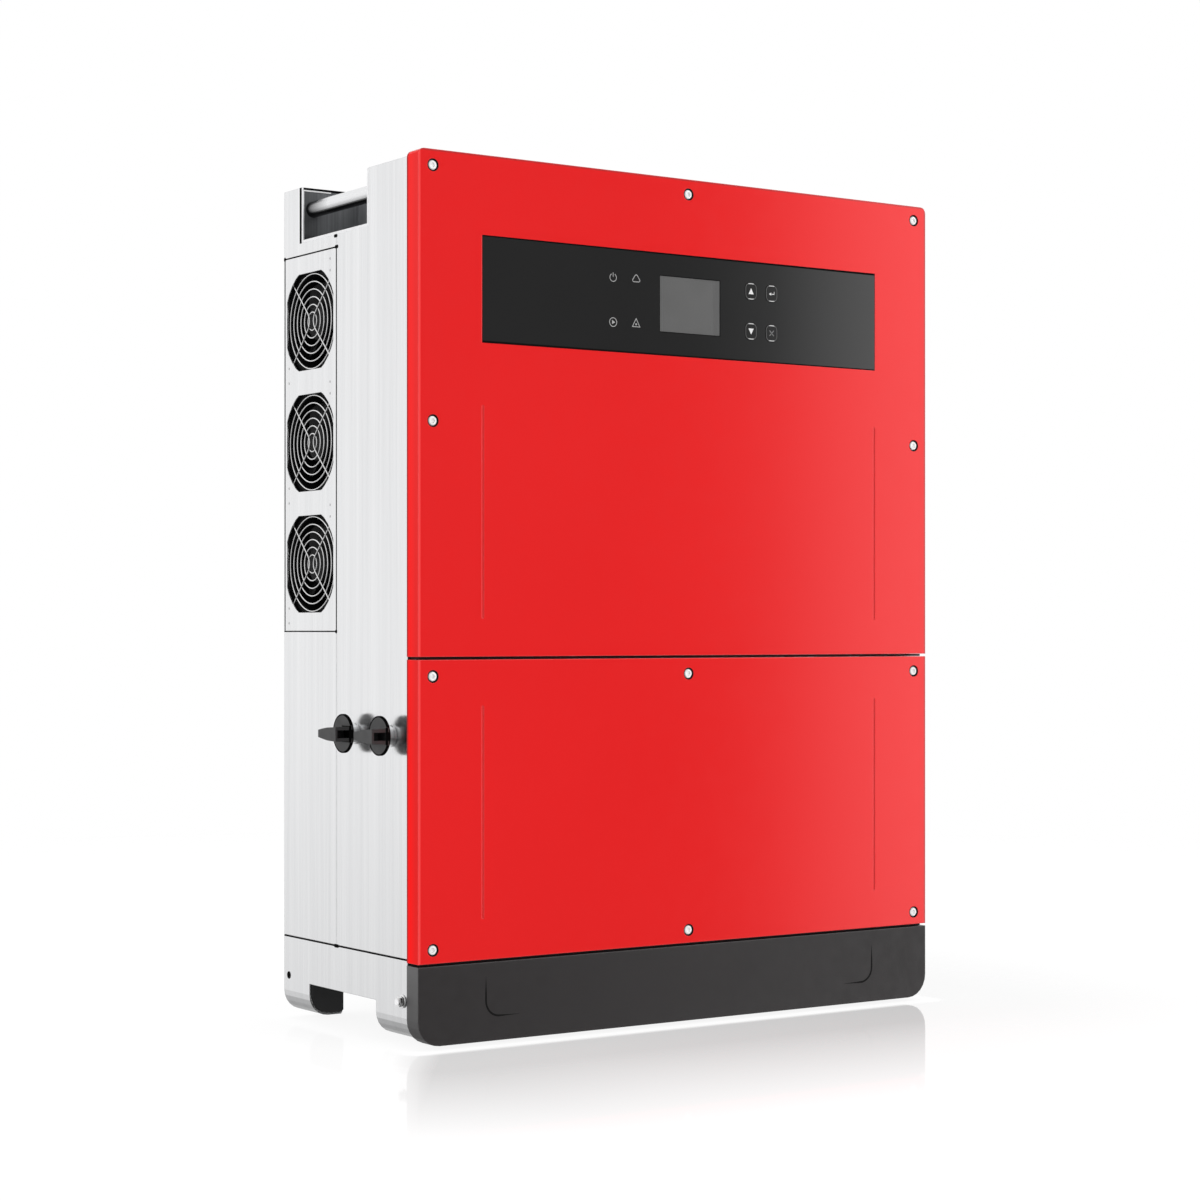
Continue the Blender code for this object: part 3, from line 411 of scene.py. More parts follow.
LOOKS = [
    (ALUMINIUM, "main_housing rear_duct_shell skirt_left skirt_right fan_tray"),
    (ALUMINIUM, "dc_collar_front dc_collar_rear"),
    (BAR, "handle_bar_left handle_bar_right"),
    (ZINC, "hanger_rail wall_spacer"),
    (EXTRUDED, "heatsink"),
    (CHOKE, "choke_bank"),
    (POCKET, "handle_pocket_left handle_pocket_right"),
    (RED, "upper_cover lower_cover"),
    (TRIM, "bottom_trim"),
    (PANEL, "display_panel"),
    (LCD, "lcd_module"),
    (RUBBER, "upper_gasket lower_gasket"),
    (STEEL, "earth_bolt"),
    (KNOB, "dc_knob_front dc_knob_rear"),
    (FRAME, "fan_frame_1 fan_frame_2 fan_frame_3"),
    (TERMINAL, "dc_switch_front dc_switch_rear ac_terminal_block"),
    (SLEEVE, "dc_link_capacitors"),
    (BOARD, "power_board control_board display_board"),
]
PREFIX_LOOKS = {"key_": PANEL, "cover_screw": SCREW, "fan_guard": WIRE, "fan_rotor": ROTOR}


def dress_cad_pieces():
    """One material for each CAD piece: by name, then by prefix, otherwise black plastic."""
    named = {name: look for look, names in LOOKS for name in names.split()}
    for name, obj in nodes.items():
        prefixed = [look for prefix, look in PREFIX_LOOKS.items() if name.startswith(prefix)]
        obj.data.materials.clear()
        obj.data.materials.append(named.get(name) or (prefixed + [BLACK])[0])


dress_cad_pieces()


# ============================================================ shape helpers
def arc(centre_x, centre_z, radius, start, end, count):
    """count + 1 points along an arc, angles in degrees."""
    angles = [math.radians(start + (end - start) * k / count) for k in range(count + 1)]
    return [(centre_x + radius * math.cos(a), centre_z + radius * math.sin(a)) for a in angles]


def circle(centre_x, centre_z, radius, count):
    return arc(centre_x, centre_z, radius, 0.0, 360.0, count)[:-1]


def rounded(centre_x, centre_z, width, height, radius):
    corners = []
    for right, up, start in ((1, 1, 0), (-1, 1, 90), (-1, -1, 180), (1, -1, 270)):
        corners += arc(centre_x + right * (width / 2 - radius),
                       centre_z + up * (height / 2 - radius), radius, start, start + 90, 6)
    return corners


def shifted(x, z, offsets):
    return [(x + across, z + up) for across, up in offsets]


def attach(name, data, material, body, slot, replaces):
    obj = bpy.data.objects.new(name, data)
    bpy.context.scene.collection.objects.link(obj)
    data.materials.append(material)
    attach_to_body(obj, body)
    if replaces:
        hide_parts(replaces)


class Shape:
    """A mesh in the making, with sizes in millimetres."""

    def __init__(self):
        self.mesh = bmesh.new()

    def ring(self, points):
        return [self.mesh.verts.new(p) for p in points]

    def face(self, corners):
        self.mesh.faces.new(corners)

    def bridge(self, first, second):
        """Walls between two rings, either of which may be a single vertex."""
        count = max(len(first), len(second))
        for k in range(count):
            n = (k + 1) % count
            if len(first) == 1:
                self.face((first[0], second[n], second[k]))
            elif len(second) == 1:
                self.face((first[k], first[n], second[0]))
            else:
                self.face((first[k], first[n], second[n], second[k]))

    def prism(self, first, second):
        self.face(first)
        self.face(second[::-1])
        self.bridge(first, second)

    def box(self, x0, x1, depth0, depth1, z0, z1, round_by=0.0):
        low, high = point(x0, depth0, z0), point(x1, depth1, z1)
        scale = Matrix.Diagonal((*(high - low), 1.0))
        place = Matrix.Translation((low + high) / 2) @ scale
        made = bmesh.ops.create_cube(self.mesh, size=1.0, matrix=place)
        if round_by:
            edges = list({e for v in made["verts"] for e in v.link_edges})
            bmesh.ops.bevel(self.mesh, geom=edges, offset=round_by / 1000, segments=2,
                            profile=0.5, affect="EDGES")

    def side_box(self, side, outer, inner, *depths_and_heights):
        """A box on the left (side -1) or right (side 1), between two distances from the middle."""
        self.box(*sorted((side * outer, side * inner)), *depths_and_heights)

    def lathe(self, profile, centre, axis, segments):
        """A turned shape from (radius, distance along axis) points."""
        axis = Vector(axis).normalized()
        across = axis.orthogonal().normalized()
        upright = axis.cross(across)
        rings = []
        for radius, along in profile:
            middle = centre + axis * (along / 1000)
            if radius < 1e-6:
                rings.append(self.ring([middle]))
                continue
            angles = [2 * math.pi * k / segments for k in range(segments)]
            rings.append(self.ring(
                middle + (across * math.cos(a) + upright * math.sin(a)) * (radius / 1000)
                for a in angles))
        for first, second in zip(rings, rings[1:]):
            self.bridge(first, second)

    def ribbon(self, points, width, depth, closed=False, taper=False):
        """A flat line facing the front, through (x, z) points."""
        count = len(points)
        left, right = [], []
        for k in range(count):
            before = Vector(points[k - 1] if closed or k else points[0])
            after = Vector(points[(k + 1) % count] if closed or k < count - 1 else points[-1])
            here = Vector(points[k])
            run = (after - before).normalized()
            step = here - before
            arriving = step.normalized() if step.length > 1e-9 else run
            half = width / 2 / max(0.5, run.dot(arriving))
            if taper:
                half *= min(1.0, 6.0 * min(k, count - 1 - k) / (count - 1) + 0.08)
            for row, sign in ((left, 1), (right, -1)):
                x, z = here.x - sign * run.y * half, here.y + sign * run.x * half
                row.append(self.mesh.verts.new(point(x, depth, z)))
        for k in range(count if closed else count - 1):
            n = (k + 1) % count
            self.face((left[k], right[k], right[n], left[n]))

    def polygon(self, points, depth):
        self.face(self.ring(point(x, depth, z) for x, z in points))

    def finish(self, name, material, body, slot, smooth=None, replaces=None, recalc=True):
        """Make the object. `smooth` is the sharp-edge angle in degrees."""
        if recalc:
            bmesh.ops.recalc_face_normals(self.mesh, faces=self.mesh.faces)
        mesh = bpy.data.meshes.new(name)
        self.mesh.to_mesh(mesh)
        self.mesh.free()
        if smooth is not None:
            mesh.shade_smooth()
            mesh.set_sharp_from_angle(angle=math.radians(smooth))
        attach(name, mesh, material, body, slot, replaces)


# ============================================================ cover screws and their seals
# turned profiles here and below: radius, distance along the axis
SCREW_HEAD = [(4.25, 2.9), (4.3, 1.6), (4.18, 0.95), (3.8, 0.45), (3.1, 0.16), (2.7, 0.1)]
SCREW_THREAD = [ridge for j in range(26) for ridge in ((2.1, 3.6 + j), (1.8, 4.1 + j))]
SCREW_SHANK = [(4.25, 2.9), (2.15, 2.9), (2.1, 3.2), *SCREW_THREAD, (1.5, 29.7), (0.0, 29.9)]
SEAL_PROFILE = [(4.4, 1.9), (4.4, 0.9), (4.9, 0.35), (5.3, 0.0), (5.65, -0.03), (5.68, 0.03),
                (5.36, 0.10), (5.36, 1.9), (4.4, 1.9)]
HEAD_SEGMENTS = 36


def socket_screw(number, x, z, body):
    centre = point(x, 0, z)
    screw = Shape()

    def ring(outline, depth):
        return screw.ring(centre + Vector((across, depth, up)) / 1000 for across, up in outline)

    rings = [ring(circle(0, 0, radius, HEAD_SEGMENTS), depth) for radius, depth in SCREW_HEAD]
    for first, second in zip(rings, rings[1:]):
        screw.bridge(first, second)
    # the flat top runs in from the round rim to the hexagonal socket
    rim = rings[-1]
    hexagon = circle(0, 0, 2.25, 6)
    mouth, floor = ring(hexagon, 0.12), ring(hexagon, 1.7)
    per_side = HEAD_SEGMENTS // 6
    for q in range(6):
        n = (q + 1) % 6
        for j in range(per_side):
            k = q * per_side + j
            corner = mouth[q if j < per_side / 2 else n]
            screw.face((rim[k], rim[(k + 1) % HEAD_SEGMENTS], corner))
        screw.face((rim[q * per_side + per_side // 2], mouth[n], mouth[q]))
        screw.face((mouth[q], mouth[n], floor[n], floor[q]))
    screw.face(floor)
    screw.lathe(SCREW_SHANK, centre, BACK, segments=20)
    screw.finish(f"socket_screw_{number:02d}", SCREW, body, "stainless_steel", smooth=40,
                 replaces=f"cover_screw_{number:02d}")
    seal = Shape()
    seal.lathe(SEAL_PROFILE, centre, BACK, segments=32)
    seal.finish(f"screw_seal_{number:02d}", SEAL, body, "seal_rubber", smooth=50)


screw_places = [(SCREW_X * step, z, body) for z, body, steps in SCREW_ROWS for step in steps]
for k, (x, z, body) in enumerate(screw_places):
    socket_screw(k + 1, x, z, body)

# joint seals between the covers and the trim
seals = Shape()
for z0, z1 in ((339.95, 341.85), (70.6, 72.5)):
    seals.box(-289.5, 289.5, 4.0, 19.4, z0, z1, round_by=0.3)
seals.finish("cover_joint_seals", RUBBER, "enclosure", "seal_rubber", smooth=40)

# ============================================================ display legends
LEGEND_DEPTH = -0.06
KEY_DEPTH = -0.36       # just in front of the key caps
LEGEND_WIDTH = 0.66


def indicator_legends():
    legends = Shape()

    def line(points, closed=True):
        legends.ribbon(points, LEGEND_WIDTH, LEGEND_DEPTH, closed=closed)

    # upper left: an open ring with an upright stroke
    x, z = -86.0, 689.7
    line(arc(x, z, 3.6, 120, 420, 28), closed=False)
    line([(x, z + 0.6), (x, z + 4.6)], closed=False)
    # upper right: a house-shaped outline
    line(shifted(-60.1, 690.6, [
        (-3.9, -2.4), (-4.1, -1.3), (-1.2, 2.9), (0.0, 3.6), (1.2, 2.9), (4.1, -1.3),
        (3.9, -2.4), (3.0, -3.0), (-3.0, -3.0),
    ]))
    # lower left: a triangle in a ring
    x, z = -86.0, 648.7
    line(circle(x, z, 4.0, 32))
    legends.polygon(shifted(x, z, [(-1.2, -2.0), (2.2, 0.0), (-1.2, 2.0)]), LEGEND_DEPTH)
    # lower right: a dot in a triangle
    x, z = -60.2, 649.5
    line(shifted(x, z, [(-4.2, -3.4), (0.0, 4.1), (4.2, -3.4)]))
    legends.polygon(circle(x, z - 1.1, 0.95, 14), LEGEND_DEPTH)
    legends.finish("indicator_legends", LIGHT_INK, "enclosure", "display_gloss", recalc=False)


def key_legend(label, x, z):
    mark = Shape()
    if label in ("up", "down"):
        up = 1 if label == "up" else -1
        arrow = [(-3.1, -2.7 * up), (3.1, -2.7 * up), (0.0, 3.1 * up)]
        mark.polygon(shifted(x, z, arrow), KEY_DEPTH)
    elif label == "enter":
        mark.polygon(shifted(x, z, [(-3.3, -0.5), (-0.6, 1.0), (-0.6, -2.0)]), KEY_DEPTH)
        mark.ribbon(shifted(x, z, [(-1.0, -0.5), (3.0, -0.5), (3.0, 1.9)]), 0.7, KEY_DEPTH)
    else:
        for up in (1, -1):
            stroke = [(-2.6, -2.6 * up), (2.6, 2.6 * up)]
            mark.ribbon(shifted(x, z, stroke), 0.9, KEY_DEPTH)
    mark_ink = GREY_INK if label == "escape" else WHITE_INK
    mark.finish(f"key_legend_{label}", mark_ink, f"key_{label}", "display_gloss")

    # the outline is grey, with a painted highlight where it turns over the cap's top and bottom
    outline = Shape()
    outline.ribbon(rounded(x, z, 12.6, 14.6, 4.4), 0.55, KEY_DEPTH, closed=True)
    outline.finish(f"key_outline_{label}", OUTLINE_INK, f"key_{label}", "display_gloss")
    arcs = Shape()
    for side in (-1, 1):
        bow = [(x + 3.6 * q / 6, z + side * (7.3 - 0.25 * (q / 6) ** 2)) for q in range(-6, 7)]
        arcs.ribbon(bow, 0.85, KEY_DEPTH - 0.03, taper=True)
    arcs.finish(f"key_highlight_arcs_{label}", KEY_HIGHLIGHT_INK, f"key_{label}", "display_gloss")


def display_lines():
    """A dark bezel round the LCD, the film's edge round the panel, a painted shadow line along the
    panel's top, and two bands on the LCD.
    """
    gap = 0.1
    x0, x1 = LCD_LEFT - gap, LCD_RIGHT + gap
    z0, z1 = LCD_BOTTOM - gap, LCD_TOP + gap
    bezel = Shape()
    bezel.ribbon([(x0, z0), (x1, z0), (x1, z1), (x0, z1)], 0.5, -0.05, closed=True)
    bezel.finish("lcd_bezel", LINE, "enclosure", "black_plastic", recalc=False)

    x, z0, z1 = 227.05, 622.05, 716.2
    film = Shape()
    film.ribbon([(-x, z0), (x, z0), (x, z1), (-x, z1)], 1.0, -0.04, closed=True)
    # a painted shadow line along the panel's top edge
    film.ribbon([(-226.9, 716.5), (226.9, 716.5)], 0.9, -0.05)
    film.finish("panel_edge_line", LINE, "enclosure", "display_gloss")

    # the LCD's face is 0.3 mm behind the panel's, so the bands lie just proud of the face
    bands = Shape()
    for x, width in ((LCD_RIGHT - 3.95, 7.0), (LCD_LEFT + 3.0, 0.5)):
        bands.ribbon([(x, LCD_BOTTOM + 0.4), (x, LCD_TOP - 0.4)], width, 0.26)
    bands.finish("lcd_edge_line", LCD_LINE, "enclosure", "display_gloss")


indicator_legends()
for label, (x, z) in KEYS.items():
    key_legend(label, x, z)
display_lines()


# ============================================================ trim creases
def trim_creases():
    """Painted shade for the grooves that run down each end of the trim and curve inwards at the
    bottom.
    """
    x, radius = -223.2, 14.0
    left = [(x, z) for z in (57.5, 50.0, 43.0, 37.0)]
    left += arc(x + radius, 36.0, radius, 190, 270, 8)
    left += [(-200.0, 22.0), (-188.0, 22.0)]
    creases = Shape()
    for line in (left, [(-x, z - 2.0) for x, z in left]):
        creases.ribbon(line, 1.8, -0.06, taper=True)
    creases.finish("trim_groove_shade_lines", CREASE, "enclosure", "charcoal_plastic")


trim_creases()

# ============================================================ fans on the left side
# upper half of a guard's arm: distance towards the back, height, from the fan's centre
ARM_HALF = [(39.2, 39.2), (7.2, 7.6), (5.0, 4.6), (4.0, 2.2)]
ROTOR_HUB = [(0.0, 0.0), (13.5, 0.0), (16.2, 0.7), (17.3, 2.2), (17.5, 4.0), (17.5, 29.6),
             (17.1, 30.0), (0.0, 30.0)]
BLADES = 7
BLADE_STEPS = 7     # root to tip
CHORD_STEPS = 8     # edge to edge


def wire_guard(number, fan_z):
    centre = point(GUARD_X, FAN_DEPTH, fan_z)

    def around(y, z, x=0.0):
        return centre + Vector((x, y, z)) / 1000

    # (points, closed): six rings, two bent arms, four corner eyes
    paths = [([around(y, z) for y, z in circle(0, 0, 8.5 + 7.2 * k, 56)], True)
             for k in range(6)]
    arm = ARM_HALF + [(3.7, 0.0)] + [(y, -z) for y, z in reversed(ARM_HALF)]
    for side in (-1, 1):
        bent = [around(side * y, z, -1.0 if y < 30 else -0.4) for y, z in arm]
        paths.append((bent, False))
    for side in (-1, 1):
        for up in (-1, 1):
            eye = circle(41.25 * side, 41.25 * up, 2.6, 20)
            paths.append(([around(y, z, 0.6) for y, z in eye], True))

    name = f"wire_guard_{number}"
    curve = bpy.data.curves.new(name, "CURVE")
    curve.dimensions = "3D"
    curve.bevel_depth = 0.70 / 1000
    curve.bevel_resolution = 3
    curve.use_fill_caps = True
    for path, closed in paths:
        spline = curve.splines.new("POLY")
        spline.points.add(len(path) - 1)
        for spline_point, place in zip(spline.points, path):
            spline_point.co = (*place, 1.0)
        spline.use_cyclic_u = closed
        spline.use_smooth = True
    attach(name, curve, WIRE, "fan_tray", "stainless_steel", f"fan_guard_{number}")


def blade_section(middle, outward, base_angle):
    """Points round one section of a blade; outward runs from 0 at the root to 1 at the tip."""
    radius = BLADE_ROOT + (BLADE_TIP - BLADE_ROOT) * outward
    pitch = math.radians(54 - 17 * outward)
    sweep = math.radians(16.0) * outward ** 1.5
    chord = 24.0 + 3.0 * math.sin(math.pi * outward)
    upper, lower = [], []
    for j in range(CHORD_STEPS + 1):
        u = j / CHORD_STEPS - 0.5
        fullness = 1 - (2 * u) ** 2
        along, camber = u * chord, 2.4 * fullness
        half_thick = 0.75 * math.sqrt(max(0.05, fullness)) + 0.12
        for row, sign in ((upper, 1), (lower, -1)):
            lift = camber + sign * half_thick
            axial = along * math.sin(pitch) - lift * math.cos(pitch)
            turned = along * math.cos(pitch) + lift * math.sin(pitch)
            angle = base_angle + sweep + turned / radius
            place = Vector((axial, radius * math.cos(angle), radius * math.sin(angle)))
            row.append(middle + place / 1000)
    return upper + lower[::-1]


def swept_rotor(number, fan_z):
    """Rounded hub and swept, twisted blades."""
    rotor = Shape()
    rotor.lathe(ROTOR_HUB, point(ROTOR_X, FAN_DEPTH, fan_z), RIGHT, segments=48)
    middle = point(ROTOR_X + 15.0, FAN_DEPTH, fan_z)
    for blade in range(BLADES):
        base_angle = 2 * math.pi * blade / BLADES
        loops = [rotor.ring(blade_section(middle, i / BLADE_STEPS, base_angle))
                 for i in range(BLADE_STEPS + 1)]
        for first, second in zip(loops, loops[1:]):
            rotor.bridge(first, second)
        rotor.face(loops[-1])
        rotor.face(loops[0][::-1])
    rotor.finish(f"swept_rotor_{number}", ROTOR, f"fan_rotor_{number}", "black_plastic",
                 smooth=40, replaces=f"fan_rotor_{number}")


for k, fan_z in enumerate(FAN_HEIGHTS):
    wire_guard(k + 1, fan_z)
    swept_rotor(k + 1, fan_z)

TRAY_SCREW = [(0.0, 0.06), (0.5, 0.06), (0.55, -0.06), (0.95, -0.10), (1.15, -0.04), (1.2, 0.3)]
tray_screws = Shape()
for fan_z in FAN_HEIGHTS:
    for back, up in ((-39.8, 54.0), (-39.8, 43.2), (41.8, -41.5), (41.8, -55.5)):
        centre = point(-SIDE - 0.02, FAN_DEPTH + back, fan_z + up)
        tray_screws.lathe(TRAY_SCREW, centre, RIGHT, segments=18)
tray_screws.finish("tray_screws", DULL, "fan_tray", "stainless_steel", smooth=40)

# ============================================================ rivets and rear screws
RIVET_PROFILE = [(0.0, -0.75), (1.0, -0.7), (1.7, -0.4), (2.1, 0.05), (2.1, 0.4)]
# depth, z on the right side
RIVETS = [(158.0, 100.0), (246.0, 100.0), (158.0, 345.0), (246.0, 345.0), (158.0, 722.0),
          (246.0, 722.0), (142.0, 100.0), (142.0, 345.0), (142.0, 560.0), (142.0, 700.0)]
rivets = Shape()
for depth, z in RIVETS:
    rivets.lathe(RIVET_PROFILE, point(SIDE, depth, z), LEFT, segments=18)
rivets.finish("side_rivets", RIVET, "enclosure", "brushed_aluminium", smooth=50)

SMALL_HEAD = [(0.0, 0.2), (1.2, 0.2), (1.2, 0.9), (2.9, 1.1), (3.6, 0.6), (3.7, -0.3)]
LARGE_HEAD = [(0.0, 0.4), (1.4, 0.4), (1.4, 1.6), (3.3, 1.9), (4.1, 1.2), (4.2, -0.3)]
# profile, x places, (depth, z) places
REAR_SCREWS = [
    (SMALL_HEAD, (-278, -160, 0, 160, 278), ((254.5, 90.0), (254.5, 720.0))),
    (SMALL_HEAD, (-278, 278), ((254.5, 250.0), (254.5, 400.0), (254.5, 555.0))),
    (LARGE_HEAD, (-180, -60, 60, 180), ((257.3, 630.0), (256.8, 195.0), (256.8, 137.5))),
]
rear_screws = Shape()
for profile, across, places in REAR_SCREWS:
    for x in across:
        for depth, z in places:
            rear_screws.lathe(profile, point(x, depth, z), BACK, segments=24)
rear_screws.finish("rear_screws", STEEL, "enclosure", "stainless_steel", smooth=40)


# ============================================================ left side seams
def seam_relief_holes():
    """Dark spots of painted shade for the relief holes at the ends of the side seams: three round,
    three short flat slots.
    """
    holes = Shape()

    def disc(depth, z, radius):
        profile = [(0.0, -0.16), (radius, -0.16), (radius, 0.3)]
        holes.lathe(profile, point(-SIDE, depth, z), RIGHT, segments=20)

    for depth, z, radius in ((253.0, 719.2, 1.9), (151.1, 364.4, 1.8), (244.8, 37.5, 3.6)):
        disc(depth, z, radius)
    # centre depth, z, half length, end radius
    for depth, z, half, radius in (
        (152.0, 729.4, 3.2, 1.5), (150.6, 74.6, 4.4, 1.6), (150.4, 719.3, 3.2, 1.6),
    ):
        front, back = depth - half + radius, depth + half - radius
        disc(front, z, radius)
        disc(back, z, radius)
        holes.box(-SIDE - 0.18, -SIDE + 0.3, front, back, z - radius, z + radius)
    holes.finish("seam_relief_holes", LINE, "enclosure", "black_plastic", smooth=40)


seam_relief_holes()

# painted shadow down the fan tray's rear edge
tray_edge = Shape()
tray_edge.box(-SIDE - 0.03, -SIDE + 0.3, 251.9, 253.6, 365.2, 718.4)
tray_edge.finish("tray_rear_edge_shadow", LINE, "fan_tray", "black_plastic")

# painted shadow lines down in the joints: round the fan tray, and between the body and its skirts
# distance of the face outside the side, front and back depths, bottom and top
TRAY_JOINTS = [
    (0.03, 149.85, 151.65, 364.0, 719.6), (0.04, 150.1, 254.3, 718.45, 719.75),
    (0.04, 150.1, 254.3, 364.0, 364.95), (-0.05, 254.35, 254.6, 364.1, 719.5),
]
joints = Shape()
for proud, *extent in TRAY_JOINTS:
    joints.box(-SIDE - proud, -SIDE + 1.2, *extent)
for side in (-1, 1):
    joints.side_box(side, SIDE + 0.03, SIDE - 1.4, 20.6, 254.3, 74.0, 75.3)
joints.finish("joint_shadow_strips", LINE, "enclosure", "seal_rubber")

# ============================================================ earth bolt, low on the left side
STUD_CENTRE = point(-SIDE, 28.5, 37.8)
WASHER = [(2.2, -0.3), (5.9, -0.3), (6.0, -0.5), (6.0, -1.3), (5.8, -1.5), (2.2, -1.5)]
THREAD_END = [(0.0, 0.0), (3.3, -0.2), (3.3, -5.0), (3.1, -5.3), (3.3, -5.6), (3.3, -6.2),
              (3.0, -6.5), (0.0, -6.5)]
GAP_RING = [(2.3, -1.55), (4.0, -1.55), (4.0, -2.05), (2.3, -2.05), (2.3, -1.55)]
STUD_CAP = [(3.34, -5.5), (3.34, -6.4), (3.1, -6.6), (0.0, -6.6)]


def earth_stud():
    """Washer, hexagon nut and the end of the thread, with a ring of painted shade between washer
    and nut and a pale cap on the thread's end as a painted highlight.
    """
    stud = Shape()
    stud.lathe(WASHER, STUD_CENTRE, RIGHT, segments=32)
    stud.lathe(THREAD_END, STUD_CENTRE, RIGHT, segments=28)
    nut_inner, nut_outer = [], []
    for q in range(6):
        angle = math.radians(60 * q + 12)
        y, z = 4.8 * math.cos(angle), 4.8 * math.sin(angle)
        nut_inner += stud.ring([STUD_CENTRE + Vector((-2.1, y, z)) / 1000])
        nut_outer += stud.ring([STUD_CENTRE + Vector((-4.7, y, z)) / 1000])
    stud.prism(nut_inner, nut_outer)
    stud.finish("earth_stud_detail", STUD, "enclosure", "stainless_steel", smooth=35,
                replaces="earth_bolt")
    # painted shade between the washer and the nut
    gap = Shape()
    gap.lathe(GAP_RING, STUD_CENTRE, RIGHT, segments=20)
    gap.finish("earth_stud_gap", LINE, "enclosure", "black_plastic", smooth=40)
    # painted highlight: a pale cap on the thread's end
    cap = Shape()
    cap.lathe(STUD_CAP, STUD_CENTRE, RIGHT, segments=24)
    cap.finish("earth_stud_end", LIP, "enclosure", "stainless_steel", smooth=40)


earth_stud()

# a thin dark sheet behind the warm air's exit slots, on the right: painted shade for the inside
# seen through them
screen = Shape()
screen.box(286.4, 286.8, 159.0, 246.0, 375.0, 711.0)
screen.finish("exhaust_shade_screen", FRAME, "enclosure", "black_plastic")

# ============================================================ isolator knobs
KNOB_Z = 271.9
KNOB_RIM = [(16.5, -1.34), (17.74, -1.34), (17.74, 1.15), (17.55, 1.32)]


def knob_details(label, depth):
    """Painted shade on a knob: a dark rim round its face, a dark strip at the rim's end of its grip
    and dark plates on its foot; the rear knob also gets a dark plate in the slot along its grip,
    with dark lines beside it.
    """
    body = f"dc_knob_{label}"
    rear = label == "rear"

    def plate(shape, x0, x1, front, back, z0, z1):
        shape.box(-SIDE + x0, -SIDE + x1, depth + front, depth + back, KNOB_Z + z0, KNOB_Z + z1)

    lines = Shape()
    lines.lathe(KNOB_RIM, point(-SIDE - 12.4, depth, KNOB_Z), RIGHT, segments=56)
    if rear:
        plate(lines, -14.45, -14.25, -17.0, -4.2, -3.3, 3.3)
        for z0, z1 in ((-5.0, -3.62), (3.62, 5.0)):
            plate(lines, -16.07, -15.9, -17.28, -3.6, z0, z1)
    plate(lines, -16.02, -13.75, -17.50, -17.25, -7.6, 7.6)
    lines.finish(f"knob_rim_and_slot_shade_{label}", RECESS_LINE, body, "black_plastic", smooth=40)

    foot = Shape()
    for z0, z1 in ((-7.5, -5.05), (5.05, 7.5)) if rear else ((-7.5, 7.5),):
        plate(foot, -16.06, -15.9, -17.2, -3.6, z0, z1)
    foot.finish(f"knob_foot_shade_{label}", FRAME if rear else BLACK, body, "black_plastic")


knob_details("front", 47.9)
knob_details("rear", 114.5)

# ============================================================ handle recess lips
# outer and inner distance from the middle, front and back depth, bottom and top
POCKET_EDGES = [    # a pale folded edge all round the recess
    (292.04, 291.52, 216.3, 218.9, 733.3, 783.0),
    (291.5, 290.7, 216.45, 216.86, 733.3, 779.6),
    (291.5, 262.0, 216.45, 216.86, 779.7, 781.0),
    (292.04, 291.52, 90.1, 219.0, 730.75, 733.3),
    (292.04, 291.52, 90.1, 92.9, 733.3, 783.0),
]
POCKET_GAPS = [     # painted shadow: a dark gap line up its back edge and along its top
    (292.0, 236.0, 216.36, 216.84, 781.1, 783.05),
    (292.0, 236.0, 218.95, 219.26, 783.0, 783.3),
    (292.07, 291.5, 218.9, 222.9, 730.6, 783.3),
]
SIDES = ((-1, "left"), (1, "right"))
for side, label in SIDES:
    for name, boxes, material, slot in (
        ("pocket_lip", POCKET_EDGES, LIP, "brushed_aluminium"),
        ("pocket_gap_shadow", POCKET_GAPS, RECESS_LINE, "dark_sheet"),
    ):
        lip = Shape()
        for extent in boxes:
            lip.side_box(side, *extent)
        lip.finish(f"{name}_{label}", material, "enclosure", slot)


# ============================================================ dark end pieces in the feet
def foot_end_plates(side, label):
    inner, outer, top = SIDE - 35.5, SIDE - 2.4, 33.2
    outline = [(inner, top), (inner, 7.0), (inner + 2.0, 5.2)]
    for degrees in range(0, 91, 15):
        angle = math.radians(degrees)
        outline.append((SIDE - 20.0 + 17.4 * math.sin(angle), 23.0 - 17.8 * math.cos(angle)))
    outline.append((outer, top))
    plates = Shape()
    for depths in ((202.2, 203.35), (76.6, 77.5)):
        faces = [plates.ring(point(side * x, depth, z) for x, z in outline) for depth in depths]
        plates.prism(*faces)
    plates.finish(f"foot_end_plates_{label}", BLACK, "enclosure", "black_plastic", smooth=40)


for side, label in SIDES:
    foot_end_plates(side, label)

# ============================================================ string connector ends underneath
COLLAR = [(0.0, 4.0), (4.6, 4.0), (4.6, -3.2), (6.2, -3.6), (6.8, -2.6), (6.8, 1.0),
          (8.5, 1.4), (9.1, 2.6), (9.1, 7.0), (8.5, 8.0)]
for label, first_x in (("a", -242.0), ("b", -72.0)):
    collars = Shape()
    for k in range(6):
        for depth in (64.0, 96.0):
            collars.lathe(COLLAR, point(first_x + 24.0 * k, depth, 39.9), UP, segments=28)
    collars.finish(f"connector_collars_{label}", BLACK, "enclosure", "black_plastic", smooth=40)


